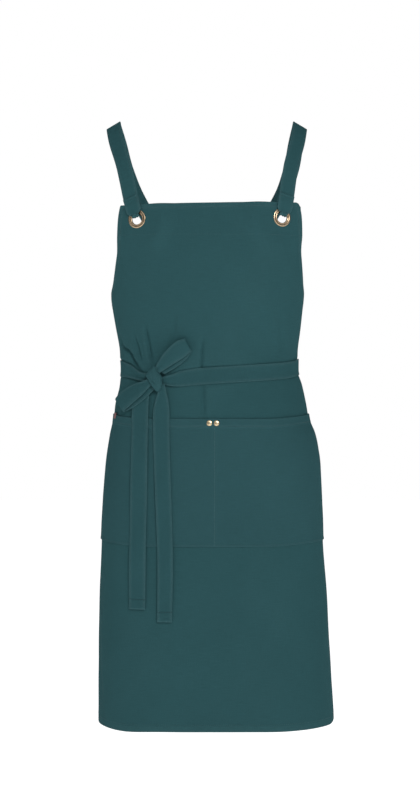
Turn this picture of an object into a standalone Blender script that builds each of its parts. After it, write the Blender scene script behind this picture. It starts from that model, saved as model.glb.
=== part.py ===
"""Cross back apron as it is worn, without its wearer.

Metres, +Z up, the front towards -Y. The origin lies midway between the tops of
the two shoulder straps, level with their undersides.
"""
import math
from functools import lru_cache

import bmesh
import bpy
from mathutils import Matrix, Vector

# Driving dimensions
DROP = 1.045
FORM_WIDTH = 0.200
FORM_DEPTH = 0.130
CLOTH = 0.0012
GAP = 0.0003

PANEL_HALF = 0.330
PANEL_COLUMNS = 20
BIB_TOP = 0.150
WAIST_CORNER = 0.395

POCKET_TOP = 0.516
POCKET_BOTTOM = 0.736
POCKET_COLUMNS = 16
SIDE_RISE = 0.008

STRAP_WIDTH = 0.027
STRAP_THICK = 0.0016
TIE_WIDTH = 0.029
TIE_THICK = 0.0014
TIE_CLEAR = 0.0005

EYELET_ACROSS = 0.1262
EYELET_DROP = 0.1745
EYELET_HOLE = 0.0095
EYELET_RIM = 0.0155
EYELET_WALL = 0.0009
EYELET_FRONT = 0.0016
EYELET_BACK = 0.0010
FLAT_AROUND_EYELET = 0.039

RIVET_HEAD = 0.00475
RIVET_SHANK = 0.0018
RIVET_DOME = 0.0014
RIVET_DROP = 0.5237
RIVET_PITCH = 0.012
RIVET_MIDDLE = 0.005

SHOULDER_LEFT = 0.1550
SHOULDER_RIGHT = 0.1660
SHOULDER_SLOPE = math.radians(30.0)
STRAP_LEAN = math.radians(18.0)

KNOT_ACROSS = -0.0955
KNOT_DROP = 0.4490
KNOT_HEIGHT = 0.046
LOOP_LENGTH = 0.080
TURN_AWAY = 0.80
TAIL_SHORT = 0.839
TAIL_LONG = 0.863

TAB_WIDTH = 0.009
TAB_HEIGHT = 0.011

# Worn form: shares of DROP, FORM_WIDTH (towards -X and +X) and FORM_DEPTH
# (front and back), and how square the section is
FORM = (
    # drop, minus_x, plus_x, front, back, square
    (0.000, 0.890, 0.870, 0.620, 0.640, 2.90),
    (0.144, 0.905, 0.895, 0.908, 0.800, 2.90),
    (0.215, 0.910, 0.880, 0.938, 0.854, 2.85),
    (0.287, 0.872, 0.830, 0.915, 0.846, 2.70),
    (0.341, 0.825, 0.795, 0.862, 0.800, 2.55),
    (0.387, 0.784, 0.768, 0.815, 0.769, 2.45),
    (0.412, 0.778, 0.766, 0.808, 0.769, 2.50),
    (0.438, 0.793, 0.798, 0.823, 0.800, 2.50),
    (0.471, 0.835, 0.852, 0.854, 0.846, 2.60),
    (0.522, 0.884, 0.935, 0.892, 0.900, 2.70),
    (0.573, 0.920, 0.971, 0.915, 0.938, 2.80),
    (0.657, 0.952, 0.990, 0.938, 0.962, 2.90),
    (0.775, 0.970, 1.022, 0.977, 0.985, 3.00),
    (0.878, 0.979, 1.048, 1.008, 0.992, 3.00),
    (1.000, 0.981, 1.084, 1.038, 1.000, 3.00),
)
DROP_AT, MINUS_AT, PLUS_AT, FRONT_AT, BACK_AT, SQUARE_AT = range(6)

# Side edge of the bib: share of DROP, share of PANEL_HALF
BIB_EDGE = (
    # drop, half
    (0.143, 0.485),
    (0.150, 0.493),
    (0.170, 0.506),
    (0.190, 0.510),
    (0.224, 0.519),
    (0.240, 0.531),
    (0.256, 0.550),
    (0.272, 0.577),
    (0.287, 0.640),
    (0.316, 0.760),
    (0.344, 0.873),
    (0.378, 1.000),
    (1.000, 1.000),
)

# Rows of the panel's grid between the bib's top, the waist corner, the pocket
# and the hem: how many cells each stretch has
PANEL_ROWS = (
    # from_drop, to_drop, cells
    (BIB_TOP, WAIST_CORNER, 11),
    (WAIST_CORNER, 0.467, 6),
    (0.467, POCKET_TOP, 2),
    (POCKET_TOP, POCKET_BOTTOM, 6),
    (POCKET_BOTTOM, DROP, 7),
)

# Soft folds of the cloth: shares of PANEL_HALF across, of DROP down, and their
# reach; depth in shares of FORM_DEPTH, inwards below zero
FOLDS = (
    # across, drop, half_width, half_length, depth
    (-0.045, 0.405, 0.055, 0.055, -0.020),
    (0.020, 0.420, 0.070, 0.090, 0.008),
    (-0.420, 0.395, 0.060, 0.035, -0.022),
    (-0.300, 0.385, 0.050, 0.035, -0.016),
    (0.300, 0.720, 0.120, 0.200, -0.014),
    (-0.640, 0.860, 0.110, 0.240, -0.016),
    (0.640, 0.860, 0.120, 0.240, 0.014),
    (-0.250, 0.960, 0.140, 0.120, 0.010),
)

# Waist ties from root to knot: the front measure in shares of PANEL_HALF
# (the sign is the side that the tie comes round), the drop in shares of DROP
TIE_PATHS = {
    "waist_tie_left": (
        # across, drop, width
        (1.000, 0.4290, 1.00),
        (0.900, 0.4275, 1.00),
        (0.780, 0.4190, 1.00),
        (0.650, 0.4092, 1.00),
        (0.400, 0.4160, 1.00),
        (0.050, 0.4225, 1.00),
        (-0.050, 0.4245, 1.00),
        (-0.150, 0.4285, 0.93),
        (-0.195, 0.4310, 0.72),
        (-0.250, 0.4320, 0.46),
        (-0.275, 0.4320, 0.42),
    ),
    "waist_tie_right": (
        (-1.000, 0.4290, 1.00),
        (-0.900, 0.4275, 1.00),
        (-0.780, 0.4190, 1.00),
        (-0.650, 0.4088, 1.00),
        (-0.540, 0.4095, 1.00),
        (-0.450, 0.4138, 0.86),
        (-0.355, 0.4245, 0.52),
        (-0.325, 0.4260, 0.44),
    ),
}
TIE_ROOT_DROP = 0.4125
TIE_ROOT_LAP = 0.025

# Rising of each shoulder strap from the eyelet to the back: out towards the
# shoulder in shares of SHOULDER_LEFT or _RIGHT, back in shares of FORM_DEPTH, drop in
# shares of BIB_TOP, and the turn of its face from front (0) over the slope (1)
# to the back (2)
STRAP_ARCH = (
    # out, back, drop, face
    (0.905, -0.600, 0.540, 0.15),
    (0.983, -0.345, 0.230, 0.50),
    (1.018, -0.140, 0.060, 0.85),
    (1.027, 0.000, 0.000, 1.00),
    (1.018, 0.150, 0.045, 1.15),
    (0.990, 0.350, 0.190, 1.45),
    (0.945, 0.530, 0.460, 1.80),
)
# Its way down the back, measured from the far waist corner: in shares of the
# round of the form beyond the corner, and of DROP
STRAP_BACK = (
    # beyond, drop, lift
    (0.930, 0.110, 1.0),
    (0.790, 0.165, 1.0),
    (0.600, 0.235, 1.0),
    (0.420, 0.290, 1.0),
    (0.240, 0.335, 0.6),
    (0.090, 0.372, -1.9),
    (-0.050, 0.402, -2.1),
)

# Bow loops: along in shares of LOOP_LENGTH, sideways and width in shares of
# TIE_WIDTH, lift in shares of LOOP_LIFT, turn of the width in degrees
LOOP_LIFT = 0.0125
LOOPS = {
    "bow_loop_upper": {
        "angle": 45.0,
        "rows": (
            # along, sideways, lift, width, turn
            (0.184, 0.137, 0.92, 0.42, -16.0),
            (0.300, 0.25, 1.05, 0.64, 0.0),
            (0.500, 0.27, 1.14, 0.92, 0.0),
            (0.700, 0.21, 1.12, 1.04, 0.0),
            (0.900, 0.15, 1.05, 1.04, -8.0),
            (0.990, 0.09, 0.98, 0.94, -14.0),
            (1.030, 0.04, 0.88, 0.89, -17.0),
            (1.042, 0.02, 0.74, 0.88, -17.0),
            (1.030, 0.01, 0.60, 0.88, -17.0),
            (0.980, 0.02, 0.54, 0.92, -14.0),
            (0.860, 0.06, 0.52, 1.00, -8.0),
            (0.660, 0.10, 0.52, 0.96, 0.0),
            (0.460, 0.10, 0.52, 0.74, 0.0),
            (0.240, 0.06, 0.56, 0.44, 0.0),
        ),
    },
    "bow_loop_lower": {
        "angle": 217.0,
        "rows": (
            (0.210, 0.00, 0.92, 0.50, 0.0),
            (0.290, -0.04, 1.02, 0.64, 0.0),
            (0.400, -0.07, 1.08, 0.76, 0.0),
            (0.540, -0.08, 1.08, 0.84, 0.0),
            (0.690, -0.06, 1.02, 0.90, -2.0),
            (0.810, 0.00, 0.94, 0.88, -4.0),
            (0.857, 0.03, 0.86, 0.86, -5.0),
            (0.870, 0.03, 0.73, 0.86, -5.0),
            (0.857, 0.04, 0.61, 0.86, -5.0),
            (0.800, 0.08, 0.55, 0.88, -4.0),
            (0.700, 0.12, 0.53, 0.92, -2.0),
            (0.530, 0.15, 0.52, 0.86, 0.0),
            (0.400, 0.14, 0.52, 0.70, 0.0),
            (0.280, 0.10, 0.54, 0.46, 0.0),
        ),
    },
}

# Hanging ends of the ties: across in shares of KNOT_ACROSS, the drop runs from
# the knot (0) to the end (1), width in shares of TIE_WIDTH, lift of TAIL_LIFT
TAILS = {
    "tie_tail_left": (
        # across, down, width, lift
        (0.930, 0.020, 0.36, 1.0),
        (0.895, 0.050, 0.50, 1.0),
        (0.870, 0.090, 0.80, 1.0),
        (0.862, 0.135, 0.96, 1.1),
        (0.865, 0.210, 0.98, 1.1),
        (0.850, 0.400, 0.97, 1.1),
        (0.840, 0.600, 0.96, 1.1),
        (0.830, 0.800, 0.95, 1.1),
        (0.824, 1.000, 0.92, 1.1),
    ),
    "tie_tail_right": (
        (1.085, 0.020, 0.36, 1.0),
        (1.140, 0.050, 0.50, 1.0),
        (1.210, 0.090, 0.76, 1.0),
        (1.255, 0.135, 0.96, 1.1),
        (1.262, 0.210, 0.98, 1.1),
        (1.272, 0.400, 0.98, 1.1),
        (1.280, 0.600, 0.98, 1.1),
        (1.288, 0.800, 0.97, 1.1),
        (1.292, 1.000, 0.96, 1.1),
    ),
}
TAIL_LIFT = 0.0040

# Knot outline: shares of KNOT_HEIGHT from its middle, and its domes
KNOT_OUTLINE = (
    # across, up
    (0.030, 0.500),
    (0.150, 0.290),
    (0.270, 0.060),
    (0.285, -0.150),
    (0.240, -0.330),
    (0.110, -0.500),
    (-0.010, -0.470),
    (-0.110, -0.280),
    (-0.210, -0.040),
    (-0.290, 0.180),
    (-0.200, 0.290),
    (-0.080, 0.400),
)
KNOT_RINGS = (
    # scale, lift
    (0.80, 0.0056),
    (0.97, 0.0070),
    (1.00, 0.0105),
    (0.93, 0.0140),
    (0.72, 0.0165),
    (0.40, 0.0178),
)

COLOURS = {
    "cloth": (0.028, 0.077, 0.084, 1.0),
    "cloth_pocket": (0.029, 0.079, 0.087, 1.0),
    "strap": (0.022, 0.066, 0.070, 1.0),
    "tie": (0.027, 0.075, 0.081, 1.0),
    "brass": (0.42, 0.29, 0.15, 1.0),
    "pale_brass": (0.62, 0.48, 0.28, 1.0),
    "tab": (0.20, 0.05, 0.04, 1.0),
}


def clear_scene():
    for item in list(bpy.data.objects):
        bpy.data.objects.remove(item, do_unlink=True)


def material(name, colour, rough, metal=0.0):
    made = bpy.data.materials.new(name)
    made.use_nodes = True
    shader = made.node_tree.nodes["Principled BSDF"]
    shader.inputs["Base Color"].default_value = colour
    shader.inputs["Roughness"].default_value = rough
    shader.inputs["Metallic"].default_value = metal
    made.diffuse_color = colour
    return made


def smooth_step(value):
    value = min(max(value, 0.0), 1.0)
    return value * value * (3.0 - 2.0 * value)


def read_table(table, key, at, given=0):
    """Smooth reading of one column of a table against another."""
    rows = [(row[given], row[key]) for row in table]
    if rows[0][0] > rows[-1][0]:
        rows.reverse()
    if at <= rows[0][0]:
        return rows[0][1]
    if at >= rows[-1][0]:
        return rows[-1][1]
    index = max(i for i, row in enumerate(rows) if row[0] <= at)
    x0, y0 = rows[index]
    x1, y1 = rows[index + 1]
    slope = (y1 - y0) / (x1 - x0)

    def tangent(i):
        if i in (0, len(rows) - 1):
            return slope
        before = (rows[i][1] - rows[i - 1][1]) / (rows[i][0] - rows[i - 1][0])
        after = (rows[i + 1][1] - rows[i][1]) / (rows[i + 1][0] - rows[i][0])
        if before * after <= 0.0:
            return 0.0
        return 2.0 * before * after / (before + after)

    span = x1 - x0
    t = (at - x0) / span
    return (y0 * (1 + 2 * t) * (1 - t) ** 2 + tangent(index) * span * t * (1 - t) ** 2
            + y1 * t * t * (3 - 2 * t) + tangent(index + 1) * span * t * t * (t - 1))


@lru_cache(maxsize=None)
def section(z):
    """Arc lengths and points of one level section, both ways from the front."""
    share = -z / DROP
    width = {-1: read_table(FORM, MINUS_AT, share), 1: read_table(FORM, PLUS_AT, share)}
    front = read_table(FORM, FRONT_AT, share) * FORM_DEPTH
    back = read_table(FORM, BACK_AT, share) * FORM_DEPTH
    power = 2.0 / read_table(FORM, SQUARE_AT, share)
    sides = {}
    for side in (-1, 1):
        points = []
        for step in range(129):
            angle = math.pi * step / 128
            across = side * width[side] * FORM_WIDTH * abs(math.sin(angle)) ** power
            facing = math.cos(angle)
            depth = front if facing > 0 else back
            points.append((across, -math.copysign(abs(facing) ** power, facing) * depth))
        lengths = [0.0]
        for start, end in zip(points, points[1:]):
            lengths.append(lengths[-1] + math.dist(start, end))
        sides[side] = (lengths, points)
    return sides


def round_length(z):
    sides = section(round(z, 6))
    return sides[-1][0][-1] + sides[1][0][-1]


def on_section(u, z):
    """Point on the plain form, u measured round it from the front middle."""
    sides = section(round(z, 6))
    around = sides[-1][0][-1] + sides[1][0][-1]
    if u > sides[1][0][-1]:
        u -= around
    if u < -sides[-1][0][-1]:
        u += around
    lengths, points = sides[1 if u >= 0 else -1]
    u = abs(u)
    low, high = 0, len(lengths) - 1
    while high - low > 1:
        middle = (low + high) // 2
        if lengths[middle] <= u:
            low = middle
        else:
            high = middle
    t = (u - lengths[low]) / max(lengths[high] - lengths[low], 1e-12)
    x = points[low][0] + t * (points[high][0] - points[low][0])
    y = points[low][1] + t * (points[high][1] - points[low][1])
    return Vector((x, y, z))


def normal_of(place, u, z, reach=0.004):
    along = place(u + reach, z) - place(u - reach, z)
    up = place(u, z + reach) - place(u, z - reach)
    return along.cross(up).normalized()


def folded(u, z):
    """The form with the soft folds of the cloth."""
    point = on_section(u, z)
    depth = 0.0
    for across, drop, half_width, half_length, fold_depth in FOLDS:
        a = (u / PANEL_HALF - across) / half_width
        b = (-z / DROP - drop) / half_length
        if abs(a) < 3.0 and abs(b) < 3.0:
            depth += fold_depth * FORM_DEPTH * math.exp(-a * a - b * b)
    if depth:
        point += normal_of(on_section, u, z) * depth
    return point


@lru_cache(maxsize=None)
def eyelet_frame(side):
    centre = on_section(side * EYELET_ACROSS, -EYELET_DROP)
    return centre, normal_of(on_section, side * EYELET_ACROSS, -EYELET_DROP)


def worn(u, z):
    """The surface that the cloth lies on, flat where an eyelet clamps it."""
    point = folded(u, z)
    if z > -BIB_TOP - 4.0 * FLAT_AROUND_EYELET:
        centre, normal = eyelet_frame(1 if u >= 0 else -1)
        off = (point - centre).dot(normal)
        away = (point - centre - normal * off).length
        hold = 1.0 - smooth_step((away - FLAT_AROUND_EYELET) / (0.8 * FLAT_AROUND_EYELET))
        point -= normal * off * hold
    return point


def laid(u, z, lift):
    return worn(u, z) + normal_of(worn, u, z) * lift


def facing(x, z):
    """The form seen from the front at a level and a place across it, carried
    on straight where its side would turn away."""
    share = -z / DROP
    width = read_table(FORM, PLUS_AT if x > 0 else MINUS_AT, share) * FORM_WIDTH
    front = read_table(FORM, FRONT_AT, share) * FORM_DEPTH
    square = read_table(FORM, SQUARE_AT, share)
    reach = abs(x) / width
    held = min(reach, TURN_AWAY)
    left = 1.0 - held ** square
    slope = held ** (square - 1.0) * left ** (1.0 / square - 1.0)
    return Vector((x, -front * (left ** (1.0 / square) - slope * (reach - held)), z))


def hung(x, z, lift):
    return facing(x, z) + normal_of(facing, x, z) * lift


def cloth_drop(share, drop):
    """Level of the panel's own rows, drawn up a little at the hips."""
    window = math.exp(-((drop - POCKET_TOP) / (0.4 * DROP)) ** 2)
    window *= smooth_step((drop - WAIST_CORNER - 0.07) / 0.05)
    window *= smooth_step((DROP - drop) / 0.25)
    return -drop + SIDE_RISE * window * smooth_step((abs(share) - 0.3) / 0.4)


def shell(name, outer, inner, look):
    """Closed thin body between two grids of the same size."""
    rows, columns = len(outer), len(outer[0])
    mesh = bpy.data.meshes.new(name)
    body = bmesh.new()
    front = [[body.verts.new(point) for point in row] for row in outer]
    back = [[body.verts.new(point) for point in row] for row in inner]
    for i in range(rows - 1):
        for j in range(columns - 1):
            body.faces.new((front[i][j], front[i + 1][j], front[i + 1][j + 1], front[i][j + 1]))
            body.faces.new((back[i][j], back[i][j + 1], back[i + 1][j + 1], back[i + 1][j]))
    edge = [(0, j) for j in range(columns)]
    edge += [(i, columns - 1) for i in range(1, rows)]
    edge += [(rows - 1, j) for j in range(columns - 2, -1, -1)]
    edge += [(i, 0) for i in range(rows - 2, 0, -1)]
    for (i, j), (k, m) in zip(edge, edge[1:] + edge[:1]):
        body.faces.new((front[i][j], front[k][m], back[k][m], back[i][j]))
    return finish(name, body, mesh, look)


def finish(name, body, mesh, look):
    bmesh.ops.recalc_face_normals(body, faces=body.faces[:])
    bmesh.ops.triangulate(body, faces=[f for f in body.faces if len(f.verts) > 4])
    body.to_mesh(mesh)
    body.free()
    made = bpy.data.objects.new(name, mesh)
    bpy.context.collection.objects.link(made)
    mesh.materials.append(look)
    mesh.shade_smooth()
    mesh.set_sharp_from_angle(angle=math.radians(40.0))
    return made


def spun(name, profile, centre, axis, look, steps):
    """Closed body turned from a profile of (radius, height) points."""
    frame = axis.to_track_quat("Z", "Y").to_matrix().to_4x4()
    frame.translation = centre
    mesh = bpy.data.meshes.new(name)
    body = bmesh.new()
    rings = []
    for step in range(steps):
        turn = Matrix.Rotation(2.0 * math.pi * step / steps, 4, "Z")
        rings.append([frame @ turn @ Vector((r, 0.0, h)) for r, h in profile])
    poles = {}
    made_rings = []
    for ring in rings:
        made = []
        for index, point in enumerate(ring):
            if profile[index][0] == 0.0:
                if index not in poles:
                    poles[index] = body.verts.new(point)
                made.append(poles[index])
            else:
                made.append(body.verts.new(point))
        made_rings.append(made)
    closed = profile[0][0] > 0.0
    count = len(profile)
    for ring, following in zip(made_rings, made_rings[1:] + made_rings[:1]):
        for index in range(count if closed else count - 1):
            after = (index + 1) % count
            corners = []
            for vert in (ring[index], ring[after], following[after], following[index]):
                if vert not in corners:
                    corners.append(vert)
            body.faces.new(corners)
    return finish(name, body, mesh, look)


def cut_hole(target, name, centre, axis, radius, length, steps):
    profile = ((0.0, -length), (radius, -length), (radius, length), (0.0, length))
    cutter = spun(name, profile, centre, axis, target.data.materials[0], steps)
    cutter.hide_render = True
    cutter.display_type = "WIRE"
    hole = target.modifiers.new(name, "BOOLEAN")
    hole.operation = "DIFFERENCE"
    hole.solver = "EXACT"
    hole.object = cutter


def even(start, end, cells):
    return [start + (end - start) * step / cells for step in range(cells + 1)]


def panel_drops():
    drops = [PANEL_ROWS[0][0]]
    for start, end, cells in PANEL_ROWS:
        drops += even(start, end, cells)[1:]
    return drops


def build_panel(look):
    outer, inner = [], []
    shares = even(-1.0, 1.0, 2 * PANEL_COLUMNS)
    for drop in panel_drops():
        half = read_table(BIB_EDGE, 1, drop / DROP) * PANEL_HALF
        places = [(share * half, cloth_drop(share, drop)) for share in shares]
        outer.append([laid(u, z, CLOTH / 2) for u, z in places])
        inner.append([laid(u, z, -CLOTH / 2) for u, z in places])
    return shell("apron_panel", outer, inner, look)


def build_pocket(look):
    outer, inner = [], []
    step = 1.0 / PANEL_COLUMNS
    shares = [index * step for index in range(-POCKET_COLUMNS, POCKET_COLUMNS + 1)]
    near = CLOTH / 2 + GAP
    for drop in panel_drops():
        if POCKET_TOP - 1e-9 <= drop <= POCKET_BOTTOM + 1e-9:
            places = [(share * PANEL_HALF, cloth_drop(share, drop)) for share in shares]
            outer.append([laid(u, z, near + CLOTH) for u, z in places])
            inner.append([laid(u, z, near) for u, z in places])
    return shell("pocket_panel", outer, inner, look)


def tie_columns(path):
    """Stations round the form that share the panel's grid lines."""
    side = 1 if path[0][0] > 0 else -1
    end = path[-1][0]
    step = 1.0 / PANEL_COLUMNS
    count = int(round((1.0 - side * end) / step))
    front = [side * (1.0 - step * index) for index in range(count + 1)]
    front = [share for share in front if side * share > side * end + 0.3 * step]
    return side, front + [end]


def build_tie(name, look, lifted):
    path = TIE_PATHS[name]
    side, front = tie_columns(path)
    step = PANEL_HALF / PANEL_COLUMNS
    lap_cells = max(1, round(TIE_ROOT_LAP / step))
    stations = []
    for index in range(lap_cells + 1):
        stations.append((-side * (PANEL_HALF - (lap_cells - index) * step), -TIE_ROOT_DROP, 1.0, 0.0))
    far_drop = path[0][1] * DROP
    cells = 12
    for index in range(1, cells):
        t = index / cells
        drop = TIE_ROOT_DROP + (far_drop - TIE_ROOT_DROP) * smooth_step(t)
        beyond = (round_length(-drop) - 2.0 * PANEL_HALF) * t
        raised = smooth_step(t / 0.14) * smooth_step((1.0 - t) / 0.14)
        stations.append((-side * (PANEL_HALF + beyond), -drop, 1.0, raised))
    for share in front:
        drop = read_table(path, 1, share) * DROP
        stations.append((share * PANEL_HALF, -drop, read_table(path, 2, share), 0.0))
    outer, inner = [], []
    near = CLOTH / 2 + TIE_CLEAR
    for u, z, width, raised in stations:
        low = near + raised * lifted
        half = width * TIE_WIDTH / 2
        levels = (z - half, z, z + half)
        outer.append([laid(u, level, low + TIE_THICK) for level in levels])
        inner.append([laid(u, level, low) for level in levels])
    return shell(name, outer, inner, look)


def spline(points, cells):
    """Catmull-Rom points through the given ones, each a tuple of vectors."""
    result = []
    last = len(points) - 1
    for index in range(last):
        before = points[max(index - 1, 0)]
        start = points[index]
        end = points[index + 1]
        after = points[min(index + 2, last)]
        for cell in range(cells):
            t = cell / cells
            row = []
            for p0, p1, p2, p3 in zip(before, start, end, after):
                value = p1 * 2.0 + (p2 - p0) * t
                value = value + (p0 * 2.0 - p1 * 5.0 + p2 * 4.0 - p3) * (t * t)
                value = value + (p1 * 3.0 - p0 - p2 * 3.0 + p3) * (t * t * t)
                row.append(value * 0.5)
            result.append(tuple(row))
    result.append(points[last])
    return result


def strap_body(name, stations, thick, look):
    """Band through (middle, face normal, width) stations."""
    outer, inner = [], []
    last = len(stations) - 1
    for index, (middle, normal, width) in enumerate(stations):
        ahead = stations[min(index + 1, last)][0]
        behind = stations[max(index - 1, 0)][0]
        run = (ahead - behind).normalized()
        across = run.cross(normal).normalized()
        out = across.cross(run).normalized()
        places = [middle + across * (share * width / 2) for share in (-1.0, 0.0, 1.0)]
        outer.append([place + out * (thick / 2) for place in places])
        inner.append([place - out * (thick / 2) for place in places])
    return shell(name, outer, inner, look)


def build_strap(name, side, look, lifted):
    centre, normal = eyelet_frame(side)
    across = Vector((0.0, 0.0, 1.0)).cross(normal).normalized() * side
    up = normal.cross(across).normalized() * side
    if up.z < 0.0:
        up = -up
    outward = across if across.x * side > 0.0 else -across
    rise = (up * math.cos(STRAP_LEAN) + outward * math.sin(STRAP_LEAN)).normalized()
    ring_front = CLOTH / 2 + GAP + EYELET_FRONT
    ring_back = CLOTH / 2 + GAP + EYELET_BACK
    front_lift = ring_front + GAP + STRAP_THICK / 2
    back_lift = ring_back + GAP + STRAP_THICK / 2
    bend = (front_lift + back_lift) / 2
    bend_lift = (front_lift - back_lift) / 2
    bend_height = bend + 0.48 * EYELET_HOLE
    through = 1.36 * EYELET_HOLE
    over_top = (EYELET_DROP - BIB_TOP) / math.cos(STRAP_LEAN)
    tail_end = over_top + 0.5 * STRAP_WIDTH
    together = STRAP_THICK + GAP
    stations = []
    for height, lift, width in (
        (tail_end, 0.5 * together, STRAP_WIDTH),
        (over_top + 0.22 * STRAP_WIDTH, 0.5 * together + 0.6 * GAP, STRAP_WIDTH),
        (over_top, 1.4 * together, STRAP_WIDTH),
        (EYELET_RIM, front_lift, STRAP_WIDTH),
        (0.72 * EYELET_RIM, front_lift, 0.84 * STRAP_WIDTH),
        (0.50 * EYELET_RIM, front_lift, 0.5 * (through + 0.7 * STRAP_WIDTH)),
    ):
        stations.append((centre + rise * height + normal * lift, normal, width))
    for step in range(0, 9):
        angle = math.pi * step / 8
        middle = centre + rise * (bend_height - bend * math.sin(angle))
        middle += normal * (bend_lift + bend * math.cos(angle))
        face = normal * math.cos(angle) - rise * math.sin(angle)
        stations.append((middle, face, through))
    back_way = []
    for height, lift, width in (
        (0.50 * EYELET_RIM, -back_lift, 0.5 * (through + 0.7 * STRAP_WIDTH)),
        (0.72 * EYELET_RIM, -back_lift, 0.84 * STRAP_WIDTH),
        (EYELET_RIM, -back_lift, STRAP_WIDTH),
        (over_top, -1.4 * together, STRAP_WIDTH),
        (over_top + 0.22 * STRAP_WIDTH, -0.5 * together - 0.6 * GAP, STRAP_WIDTH),
        (tail_end, -0.5 * together, STRAP_WIDTH),
    ):
        back_way.append((centre + rise * height + normal * lift, -normal, width))
    stations += back_way
    shoulder = SHOULDER_LEFT if side > 0 else SHOULDER_RIGHT
    slope = Vector((side * math.sin(SHOULDER_SLOPE), 0.0, math.cos(SHOULDER_SLOPE)))
    key = [(back_way[-1][0], normal)]
    for out, back, drop, face in STRAP_ARCH:
        middle = Vector((side * out * shoulder, back * FORM_DEPTH, -drop * BIB_TOP))
        middle.z += STRAP_THICK / 2
        facing = normal.lerp(slope, smooth_step(face)) if face < 1.0 else \
            slope.lerp(Vector((0.0, 1.0, 0.1)), smooth_step(face - 1.0))
        key.append((middle, facing.normalized()))
    far = -side
    for beyond, drop, lift in STRAP_BACK:
        z = -drop * DROP
        spare = round_length(z) - 2.0 * PANEL_HALF
        shoulder_spare = spare if beyond > 0.0 else 2.0 * PANEL_HALF
        u = far * (PANEL_HALF + beyond * shoulder_spare)
        near = CLOTH / 2 + GAP + STRAP_THICK / 2
        height = near * lift + lifted * smooth_step((0.35 - abs(beyond - 0.45)) / 0.2)
        key.append((laid(u, z, height), normal_of(worn, u, z)))
    for middle, facing in spline(key, 3)[1:]:
        stations.append((middle, -facing.normalized(), STRAP_WIDTH))
    return strap_body(name, stations, STRAP_THICK, look)


def build_loop(name, look):
    loop = LOOPS[name]
    angle = math.radians(loop["angle"])
    run = (math.cos(angle), math.sin(angle))
    side = (-run[1], run[0])
    lines = [[], [], []]
    for along, sideways, lift, width, turn in loop["rows"]:
        reach = along * LOOP_LENGTH
        x = KNOT_ACROSS + run[0] * reach + side[0] * sideways * TIE_WIDTH
        z = -KNOT_DROP + run[1] * reach + side[1] * sideways * TIE_WIDTH
        turned = angle + math.pi / 2 + math.radians(turn)
        half = width * TIE_WIDTH / 2
        for line, share in zip(lines, (-1.0, 0.0, 1.0)):
            step = (math.cos(turned) * share * half, math.sin(turned) * share * half)
            line.append(hung(x + step[0], z + step[1], lift * LOOP_LIFT))
    outer, inner = [], []
    last = len(loop["rows"]) - 1
    for index in range(last + 1):
        ahead, behind = min(index + 1, last), max(index - 1, 0)
        across = (lines[2][index] - lines[0][index]).normalized()
        outer_row, inner_row = [], []
        for line in lines:
            out = (line[ahead] - line[behind]).cross(across).normalized()
            outer_row.append(line[index] + out * (TIE_THICK / 2))
            inner_row.append(line[index] - out * (TIE_THICK / 2))
        outer.append(outer_row)
        inner.append(inner_row)
    return shell(name, outer, inner, look)


def build_tail(name, end_drop, look):
    outer, inner = [], []
    for across, down, width, lift in TAILS[name]:
        z = -(KNOT_DROP + down * (end_drop - KNOT_DROP))
        x = across * KNOT_ACROSS
        half = width * TIE_WIDTH / 2
        places = [(x - half, z), (x, z), (x + half, z)]
        middle = lift * TAIL_LIFT
        outer.append([hung(a, b, middle + TIE_THICK / 2) for a, b in places])
        inner.append([hung(a, b, middle - TIE_THICK / 2) for a, b in places])
    return shell(name, outer, inner, look)


def build_knot(look):
    mesh = bpy.data.meshes.new("bow_knot")
    body = bmesh.new()
    rings = []
    for scale, lift in KNOT_RINGS:
        ring = []
        for across, up in KNOT_OUTLINE:
            x = KNOT_ACROSS + across * scale * KNOT_HEIGHT
            z = -KNOT_DROP + up * scale * KNOT_HEIGHT
            ring.append(body.verts.new(hung(x, z, lift)))
        rings.append(ring)
    for low, high in zip(rings, rings[1:]):
        for index in range(len(low)):
            after = (index + 1) % len(low)
            body.faces.new((low[index], low[after], high[after], high[index]))
    body.faces.new(rings[0])
    body.faces.new(rings[-1])
    return finish("bow_knot", body, mesh, look)


def build_eyelet(name, side, look):
    centre, axis = eyelet_frame(side)
    clamp = CLOTH / 2 + GAP
    hole = EYELET_HOLE
    barrel = EYELET_HOLE + EYELET_WALL
    rim = EYELET_RIM
    top = clamp + EYELET_FRONT
    low = clamp + EYELET_BACK
    profile = (
        (hole, -0.6 * low), (hole, 0.5 * top), (hole + 0.35 * EYELET_WALL, 0.85 * top),
        (0.3 * rim + 0.7 * hole, top), (0.75 * rim + 0.25 * hole, 0.92 * top),
        (rim, 0.5 * (top + clamp)), (rim, clamp), (barrel, clamp), (barrel, -clamp),
        (rim - EYELET_WALL, -clamp), (rim - EYELET_WALL, -0.8 * low), (0.4 * rim + 0.6 * hole, -low),
    )
    return spun(name, profile, centre, axis, look, 28)


def build_rivet(name, across, look):
    centre = worn(across, -RIVET_DROP)
    axis = normal_of(worn, across, -RIVET_DROP)
    front = 1.5 * CLOTH + 2.0 * GAP
    back = -CLOTH / 2 - GAP
    burr = 0.8 * RIVET_HEAD
    profile = (
        (0.0, back - CLOTH), (0.7 * burr, back - CLOTH), (burr, back - 0.5 * CLOTH), (burr, back),
        (RIVET_SHANK, back), (RIVET_SHANK, front), (RIVET_HEAD, front),
        (RIVET_HEAD, front + 0.35 * RIVET_DOME), (0.75 * RIVET_HEAD, front + 0.82 * RIVET_DOME),
        (0.4 * RIVET_HEAD, front + RIVET_DOME), (0.0, front + RIVET_DOME),
    )
    return spun(name, profile, centre, axis, look, 16)


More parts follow.
